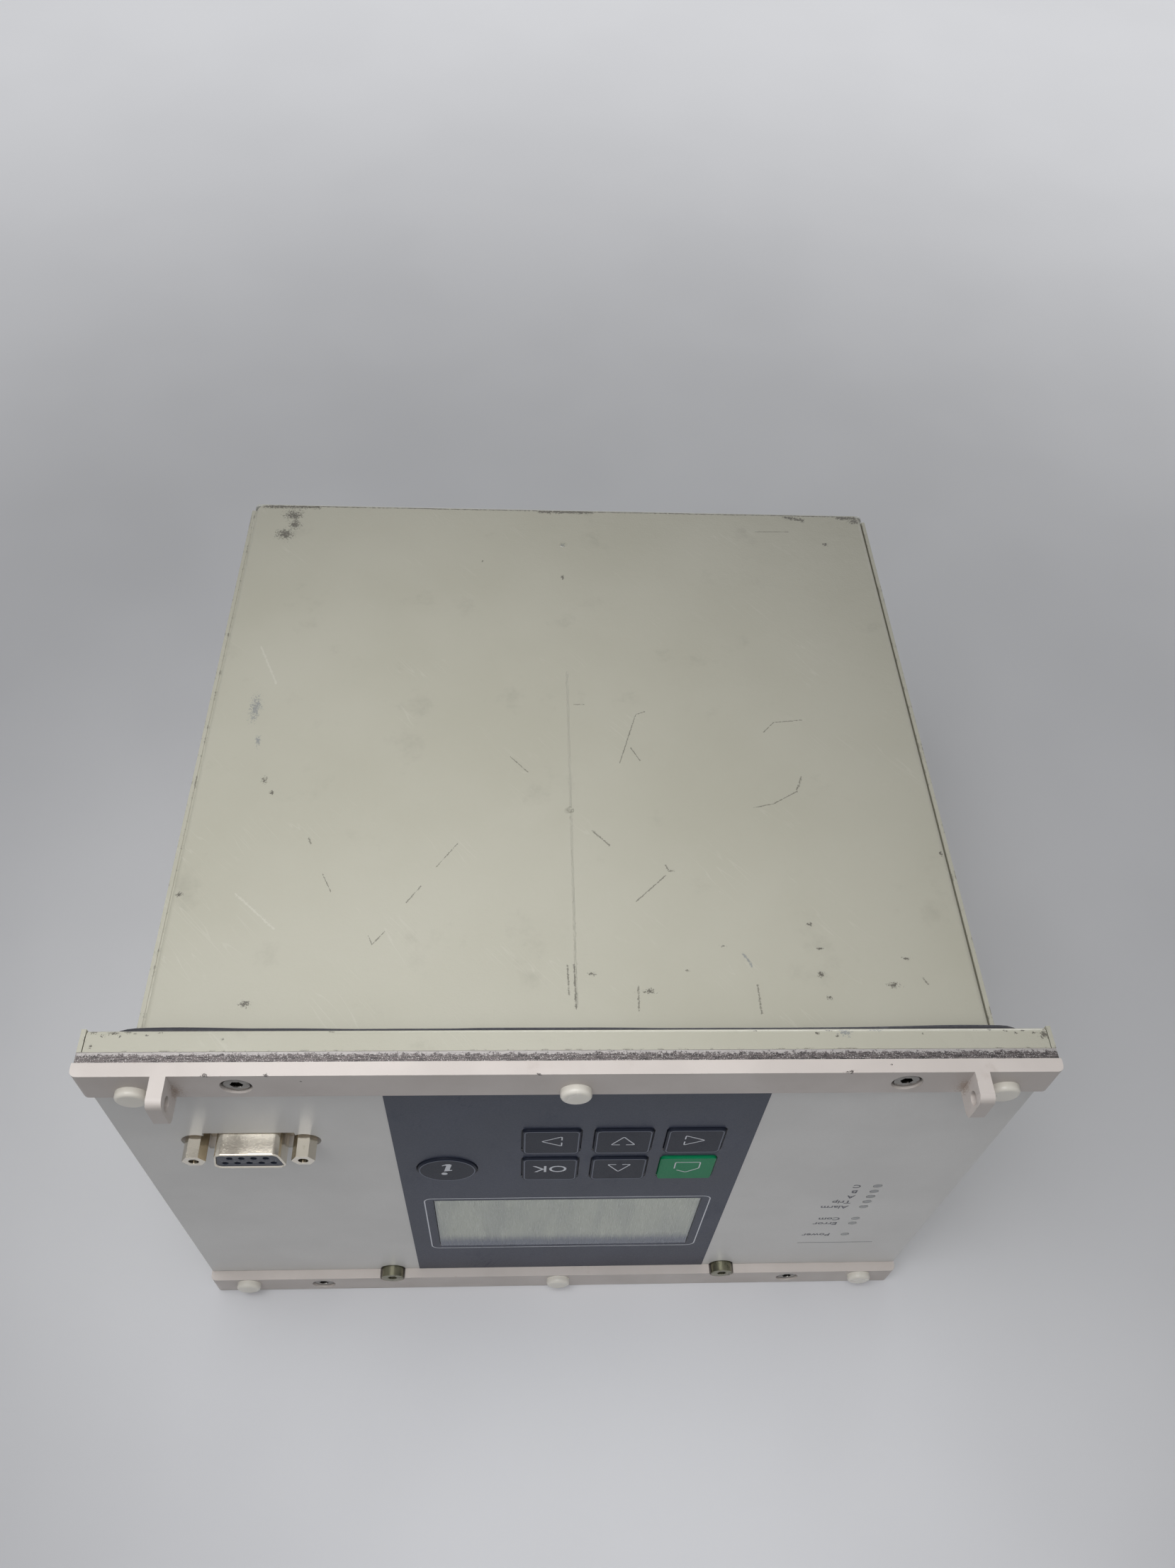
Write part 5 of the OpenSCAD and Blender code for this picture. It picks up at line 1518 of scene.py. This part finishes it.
@dataclass
class Keypad(Assembly):
    """Keys with their painted highlight rims and signs."""

    INFO_STEM: ClassVar[tuple[Point2, ...]] = (
        (-1.3, 0.5), (-1.2, 0.85), (0.8, 1.3), (0.05, -2.5), (0.35, -2.75), (1.0, -2.3), (1.2, -2.6),
        (0.1, -3.5), (-0.8, -3.55), (-1.25, -3.1), (-1.2, -2.6), (-0.6, 0.3))
    INFO_DOT: ClassVar[Point2] = (0.75, 2.9)
    CANCEL_PATH: ClassVar[tuple[Point2, ...]] = (
        (-3.1, -0.7), (-3.1, 3.4), (3.1, 3.4), (3.1, -0.6), (0.0, -3.3), (-2.4, -1.8))
    TURNS: ClassVar[dict[Sign, int]] = {Sign.RIGHT: 0, Sign.UP: 1, Sign.LEFT: 2, Sign.DOWN: 3}

    key_edge: float = 0.3
    key_w: float = 13.8
    key_h: float = 14.3
    info_d: float = 14.7
    info_dot_r: float = 0.78
    info_steps: int = 48
    info_dot_steps: int = 12
    sign_r: float = 0.5
    sign_line: float = 0.3
    sign_depth: float = 0.03
    sign_lift: float = 0.9
    arrow_half: float = 2.85
    arrow_tip: float = 2.4
    arrow_gap: float = 0.75
    word_size: float = 5.9
    rim_inset: float = 0.4
    rim_line: float = 0.26
    key_r: float = 1.6

    def build(self, wardrobe: Wardrobe) -> Iterator[bpy.types.Object]:
        """Dresses the keys and builds their painted highlight rims and signs."""
        for sign in Sign:
            node = f"key_{sign.value}"
            green = sign is Sign.CANCEL
            yield self.solid(wardrobe, node, "key_green" if green else "key_dark", self.key_edge)
            if not green:
                yield self.carried(wardrobe, self.rim(sign, node), "key_rim_highlight", "film_dark", node)
            yield self.carried(wardrobe, self.sign(sign, node), "pale_print", "film_pale", node)

    @staticmethod
    def face(node: str) -> tuple[Point2, float]:
        """Finds the front face of a key.

        Args:
            node: CAD node of the key.

        Returns:
            The middle of the face, and its depth.
        """
        low, high = (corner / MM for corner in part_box(node))
        return ((low.x + high.x) / 2, (low.z + high.z) / 2), low.y

    def rim(self, sign: Sign, node: str) -> bpy.types.Object:
        """Builds the fine pale line round the face of one key, a painted highlight on its embossed edge.

        Args:
            sign: Sign of the key.
            node: CAD node of the key.

        Returns:
            The line's piece.
        """
        middle, front = self.face(node)
        outlines = []
        for inset in (self.rim_inset, self.rim_inset + self.rim_line):
            if sign is Sign.INFO:
                outlines.append(circle(middle, self.info_d / 2 - inset, self.info_steps))
            else:
                width, height = self.key_w - 2 * inset, self.key_h - 2 * inset
                outlines.append(rounded(width, height, self.key_r - inset, middle))
        return add_plate(f"rim_{sign.value}", outlines, front - self.sign_depth / 2, self.sign_depth)

    def sign(self, sign: Sign, node: str) -> bpy.types.Object:
        """Builds the sign of one key, upside down as the relay lies.

        Args:
            sign: Which sign.
            node: CAD node of the key.

        Returns:
            The sign's piece.
        """
        (across, up), face = self.face(node)
        up += self.sign_lift
        name, front = f"sign_{sign.value}", face - self.sign_depth / 2
        if sign is Sign.OK:
            place = (across, front + self.sign_depth / 2, up)
            return add_letters(name, "OK", place, self.word_size, self.sign_depth)
        if sign is Sign.INFO:
            outlines = [self.INFO_STEM, circle(self.INFO_DOT, self.info_dot_r, self.info_dot_steps)]
            placed = [[(across - x, up - z) for x, z in outline] for outline in outlines]
        else:
            path = list(self.CANCEL_PATH) if sign is Sign.CANCEL else self.arrow(sign)
            drawn = [(across + x, up + z) for x, z in eased(path, self.sign_r)]
            placed = [stroke(drawn, self.sign_line)]
        return add_plate(name, placed, front, self.sign_depth)

    def arrow(self, sign: Sign) -> list[Point2]:
        """Draws the open arrow head of a key.

        Args:
            sign: Way that the arrow points.

        Returns:
            Corner points of its line, about the middle of the key.
        """
        half, tip, gap = self.arrow_half, self.arrow_tip, self.arrow_gap
        path = [(tip, gap), (tip, half), (-tip, 0.0), (tip, -half), (tip, -gap)]
        for _ in range(self.TURNS[sign]):
            path = [(-z, x) for x, z in path]
        return path


@dataclass
class Display(Assembly):
    """Pane, the parts behind it and the fine line printed round it."""

    window_edge: float = 0.15
    line_w: float = 76.0
    line_h: float = 41.8
    line_r: float = 2.2
    line: float = 0.32
    line_depth: float = 0.03
    line_middle: Point2 = (1.0, -26.2)

    def build(self, wardrobe: Wardrobe) -> Iterator[bpy.types.Object]:
        """Dresses the display and builds the line."""
        yield self.solid(wardrobe, "display_window", "display_clear", self.window_edge)
        for node, finish in (("display_bezel", "steel"), ("display_glass", "display_grey"),
                             ("display_backlight", "light_white"), ("display_board", "board_green"),
                             ("board_spacers", "steel"), ("board_screws", "steel"),
                             ("key_switches", "part_black")):
            yield self.solid(wardrobe, node, finish)
        field_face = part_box("keypad_field")[0].y / MM
        outlines = [rounded(self.line_w + grow, self.line_h + grow, self.line_r + grow / 2, self.line_middle)
                    for grow in (self.line, -self.line)]
        frame_line = add_plate("display_line", outlines, field_face - self.line_depth / 2, self.line_depth)
        yield self.carried(wardrobe, frame_line, "pale_print", "film_pale")


@dataclass
class SerialPort(Assembly):
    """Nine-way port: drawn shell, flange, core, contacts and screws."""

    name: str
    place: Matrix
    contacts: bool
    core_edge: float = 0.12
    screw_edge: float = 0.2
    shell_r: float = 1.9
    half_h: float = 2.2
    wide: float = 6.4
    slope: float = 10.0
    wall: float = 0.5
    length: float = 8.0
    root: float = 0.4
    lip: float = 0.34
    mouth_gap: float = 0.05
    bend_steps: int = 3
    flange_w: float = 30.8
    flange_h: float = 12.5
    flange_t: float = 0.8
    flange_r: float = 1.4
    pitch: float = 25.0
    screw_hole: float = 2.9
    hole_steps: int = 20

    def build(self, wardrobe: Wardrobe) -> Iterator[bpy.types.Object]:
        """Builds the shell and dresses the rest."""
        shell = self.shell()
        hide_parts(f"{self.name}_shell")
        yield self.carried(wardrobe, shell, "port_nickel", "port_nickel")
        yield self.carried(wardrobe, self.flange(), "port_nickel", "port_nickel")
        yield self.solid(wardrobe, f"{self.name}_core", "port_core_blue", self.core_edge)
        yield self.solid(wardrobe, f"{self.name}_screws", "port_nickel", self.screw_edge)
        if self.contacts:
            yield self.solid(wardrobe, f"{self.name}_contacts", "brass")

    def outline(self, radius: float) -> list[Point2]:
        """Returns the port's tapered outline, so far from the corners' centres."""
        narrow = self.wide - 2 * self.half_h * math.tan(math.radians(self.slope))
        right = (arc((self.wide, -self.half_h), radius, -90, self.slope)
                 + arc((narrow, self.half_h), radius, self.slope, 90))
        return right + [(-x, z) for x, z in reversed(right)]

    def shell(self) -> bpy.types.Object:
        """Builds the drawn shell, flared at its root and rolled in at its mouth.

        Returns:
            The shell.
        """
        bend = [math.radians(90 * step / self.bend_steps) for step in range(self.bend_steps + 1)]
        outer = [(self.shell_r + self.root * (1 - math.sin(a)), self.root * (1 - math.cos(a))) for a in bend]
        mouth = [(self.shell_r - self.lip * (1 - math.cos(a)), self.length - self.lip * (1 - math.sin(a)))
                 for a in bend]
        bore = self.shell_r - self.wall
        inner = [(bore, self.length - self.mouth_gap), (bore, -self.flange_t),
                 (self.shell_r + self.root, -self.flange_t)]
        rings = [[self.place @ Vector((x, -depth, z)) for x, z in self.outline(radius)]
                 for radius, depth in outer + mouth + inner]
        points = [point for ring in rings for point in ring]
        return add_mesh(f"{self.name}_shell_drawn", points, skin(len(rings), len(rings[0]), closed=True))

    def flange(self) -> bpy.types.Object:
        """Builds the flange with its opening and screw holes.

        Returns:
            The flange.
        """
        holes = [circle((side * self.pitch / 2, 0.0), self.screw_hole / 2, self.hole_steps)
                 for side in (-1, 1)]
        outlines = [rounded(self.flange_w, self.flange_h, self.flange_r),
                    self.outline(self.shell_r + self.root), *holes]
        flange = add_plate(f"{self.name}_flange", outlines, 0.0, self.flange_t)
        flange.data.transform(Matrix.Scale(MM, 4) @ self.place @ Matrix.Scale(1 / MM, 4))
        return flange


@dataclass
class RearTerminals(Assembly):
    """Terminal block, plugs and their screws."""

    block_edge: float = 0.35
    plug_edge: float = 0.25
    block_screw_edge: float = 0.2
    plug_screw_edge: float = 0.1

    def build(self, wardrobe: Wardrobe) -> Iterator[bpy.types.Object]:
        """Dresses the terminals."""
        yield self.solid(wardrobe, "current_block", "part_black", self.block_edge)
        yield self.solid(wardrobe, "current_screws", "steel", self.block_screw_edge)
        yield self.solid(wardrobe, "plug_sockets", "plug_green", self.plug_edge)
        yield self.solid(wardrobe, "terminal_plugs", "plug_green", self.plug_edge)
        yield self.solid(wardrobe, "plug_screws", "steel", self.plug_screw_edge)


@dataclass
class Inside(Assembly):
    """Boards and parts inside the case."""

    finishes: dict[str, str] = field(default_factory=lambda: {
        "backplane_board": "board_green", "backplane_posts": "steel", "stacking_header": "part_black",
        "card_connectors": "part_black", "card_guides": "part_black", "input_card": "board_green",
        "relay_card_a": "board_green", "relay_card_b": "board_green", "power_card": "board_green",
        "cpu_card": "board_green", "current_transformers": "winding_lacquer", "output_relays": "relay_white",
        "supply_transformer": "winding_lacquer", "supply_capacitors": "capacitor_sleeve",
        "processor_chips": "part_black"})

    def build(self, wardrobe: Wardrobe) -> Iterator[bpy.types.Object]:
        """Dresses the parts inside."""
        for node, finish in self.finishes.items():
            yield self.solid(wardrobe, node, finish)


@dataclass
class Studio:
    """Floor, light and camera."""

    floor_colour: Colour = srgb(226, 227, 231)
    floor_shade: Colour = srgb(220, 221, 225)
    floor_patch: float = 0.01
    floor_roughness: float = 0.9
    floor_half: float = 4000.0
    sweep: Point2 = (180.0, 900.0)
    sweep_glow: float = 0.55
    rest_front: Point2 = (-1.5, -77.25)
    rest_rear: Point2 = (182.2, -66.45)
    ambient: float = 0.3
    backdrop: Colour = srgb(206, 207, 210)
    key_place: Point3 = (-75.0, -60.0, 330.0)
    key_size: Point2 = (420.0, 260.0)
    key_watts: float = 0.295
    key_spread: float = 80.0
    rear_place: Point3 = (300.0, 1500.0, 150.0)
    rear_size: Point2 = (1200.0, 220.0)
    rear_watts: float = 0.9
    rear_spread: float = 50.0
    aim: Point3 = (-10.0, -30.0, 40.0)
    eye: Point3 = (-11.88, -117.09, 310.38)
    eye_right: Point3 = (0.99850, -0.02727, 0.04739)
    eye_up: Point3 = (-0.00761, 0.78905, 0.61429)
    lens: float = 27.38
    sensor: float = 36.0
    clip: Point2 = (10.0, 100000.0)

    def build(self) -> None:
        """Builds the whole studio."""
        bpy.context.scene.view_settings.view_transform = "Standard"
        self.floor()
        self.sky()
        self.lamp("key_light", self.key_place, self.key_size, self.key_watts, self.key_spread)
        self.lamp("rear_light", self.rear_place, self.rear_size, self.rear_watts, self.rear_spread)
        self.camera()

    def floor(self) -> None:
        """Builds the floor, tilted as the relay rests on its lip and its rear edge."""
        (y, z), (to_y, to_z) = self.rest_front, self.rest_rear
        slope = (to_z - z) / (to_y - y)
        half = self.floor_half
        corners = [Vector((x, far, z + (far - y) * slope))
                   for x, far in ((-half, -half), (half, -half), (half, half), (-half, half))]
        plane = add_mesh("floor", corners, [(0, 1, 2, 3)], smooth=False)
        made = bpy.data.materials.new("floor")
        made.use_nodes = True
        graph = Graph(made.node_tree)
        shader = made.node_tree.nodes["Principled BSDF"].inputs
        shade = graph.remap(graph.noise(graph.point(), self.floor_patch, detail=2.0), *Finish.MIDDLE)
        graph.feed(shader["Base Color"], graph.mix(shade, self.floor_colour, self.floor_shade))
        shader["Roughness"].default_value = self.floor_roughness
        far = graph.remap(graph.vector("LENGTH", graph.point()), *self.sweep, 0.0, self.sweep_glow)
        shader["Emission Color"].default_value = self.backdrop
        graph.feed(shader["Emission Strength"], graph.math("MULTIPLY", far, self.seen(graph)))
        plane.data.materials.append(made)

    def sky(self) -> None:
        """Builds the even light all round, with a pale backdrop for the camera."""
        world = bpy.data.worlds.new("studio")
        world.use_nodes = True
        bpy.context.scene.world = world
        graph = Graph(world.node_tree)
        sky = world.node_tree.nodes["Background"]
        level = (self.ambient, self.ambient, self.ambient, 1.0)
        graph.feed(sky.inputs["Color"], graph.mix(self.seen(graph), level, self.backdrop))

    @staticmethod
    def seen(graph: Graph) -> Socket:
        """Returns 1 for rays that show the background: to the camera, off gloss and through glass."""
        path = graph.node("ShaderNodeLightPath").outputs
        return graph.math("MAXIMUM", path["Is Camera Ray"], graph.math(
            "MAXIMUM", path["Is Glossy Ray"], path["Is Transmission Ray"]))

    def lamp(self, name: str, place: Point3, size: Point2, watts: float, spread: float) -> None:
        """Adds a soft lamp that looks at the relay.

        Args:
            name: Name of the lamp.
            place: Where it stands.
            size: Its width and height.
            watts: Its power.
            spread: Angle that its light spreads over, in degrees.
        """
        lamp = bpy.data.lights.new(name, "AREA")
        lamp.shape = "RECTANGLE"
        lamp.size, lamp.size_y = size[0] * MM, size[1] * MM
        lamp.energy = watts
        lamp.spread = math.radians(spread)
        holder = bpy.data.objects.new(name, lamp)
        holder.location = Vector(place) * MM
        holder.rotation_euler = (Vector(self.aim) - Vector(place)).to_track_quat("-Z", "Y").to_euler()
        holder.visible_camera = False
        bpy.context.scene.collection.objects.link(holder)

    def camera(self) -> None:
        """Sets the camera where the photograph was taken."""
        lens = bpy.data.cameras.new("view")
        lens.sensor_fit = "VERTICAL"
        lens.sensor_height = self.sensor
        lens.lens = self.lens
        lens.clip_start, lens.clip_end = (reach * MM for reach in self.clip)
        holder = bpy.data.objects.new("view", lens)
        right, up = Vector(self.eye_right), Vector(self.eye_up)
        turn = Matrix((right, up, right.cross(up))).transposed().to_4x4()
        holder.matrix_world = Matrix.Translation(Vector(self.eye) * MM) @ turn
        bpy.context.scene.collection.objects.link(holder)
        bpy.context.scene.camera = holder


def ports() -> Iterator[SerialPort]:
    """Yields the port on the front and the one on the rear, each where its solid is."""
    facing_rear = Matrix.Rotation(math.pi, 4, "Z") @ Matrix.Rotation(math.pi / 2, 4, "Y")
    for name, on_front, turn in (("port", True, Matrix()), ("remote_port", False, facing_rear)):
        low, high = (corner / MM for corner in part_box(f"{name}_shell"))
        flange_face = high.y - SerialPort.flange_t if on_front else low.y + SerialPort.flange_t
        place = Vector(((low.x + high.x) / 2, flange_face, (low.z + high.z) / 2))
        yield SerialPort(name, Matrix.Translation(place) @ turn, contacts=on_front)


def main() -> None:
    """Builds the studio and every assembly, and logs the name of each piece."""
    logging.basicConfig(level=logging.INFO, format="%(name)s: %(message)s")
    Studio().build()
    wardrobe = Wardrobe(EffectKit())
    for assembly in (FoldedCase(), FrontPlates(), Keypad(), Display(), *ports(), RearTerminals(), Inside()):
        for piece in assembly.build(wardrobe):
            LOG.info("%s: %s", type(assembly).__name__, piece.name)


if __name__ == "__main__":
    main()
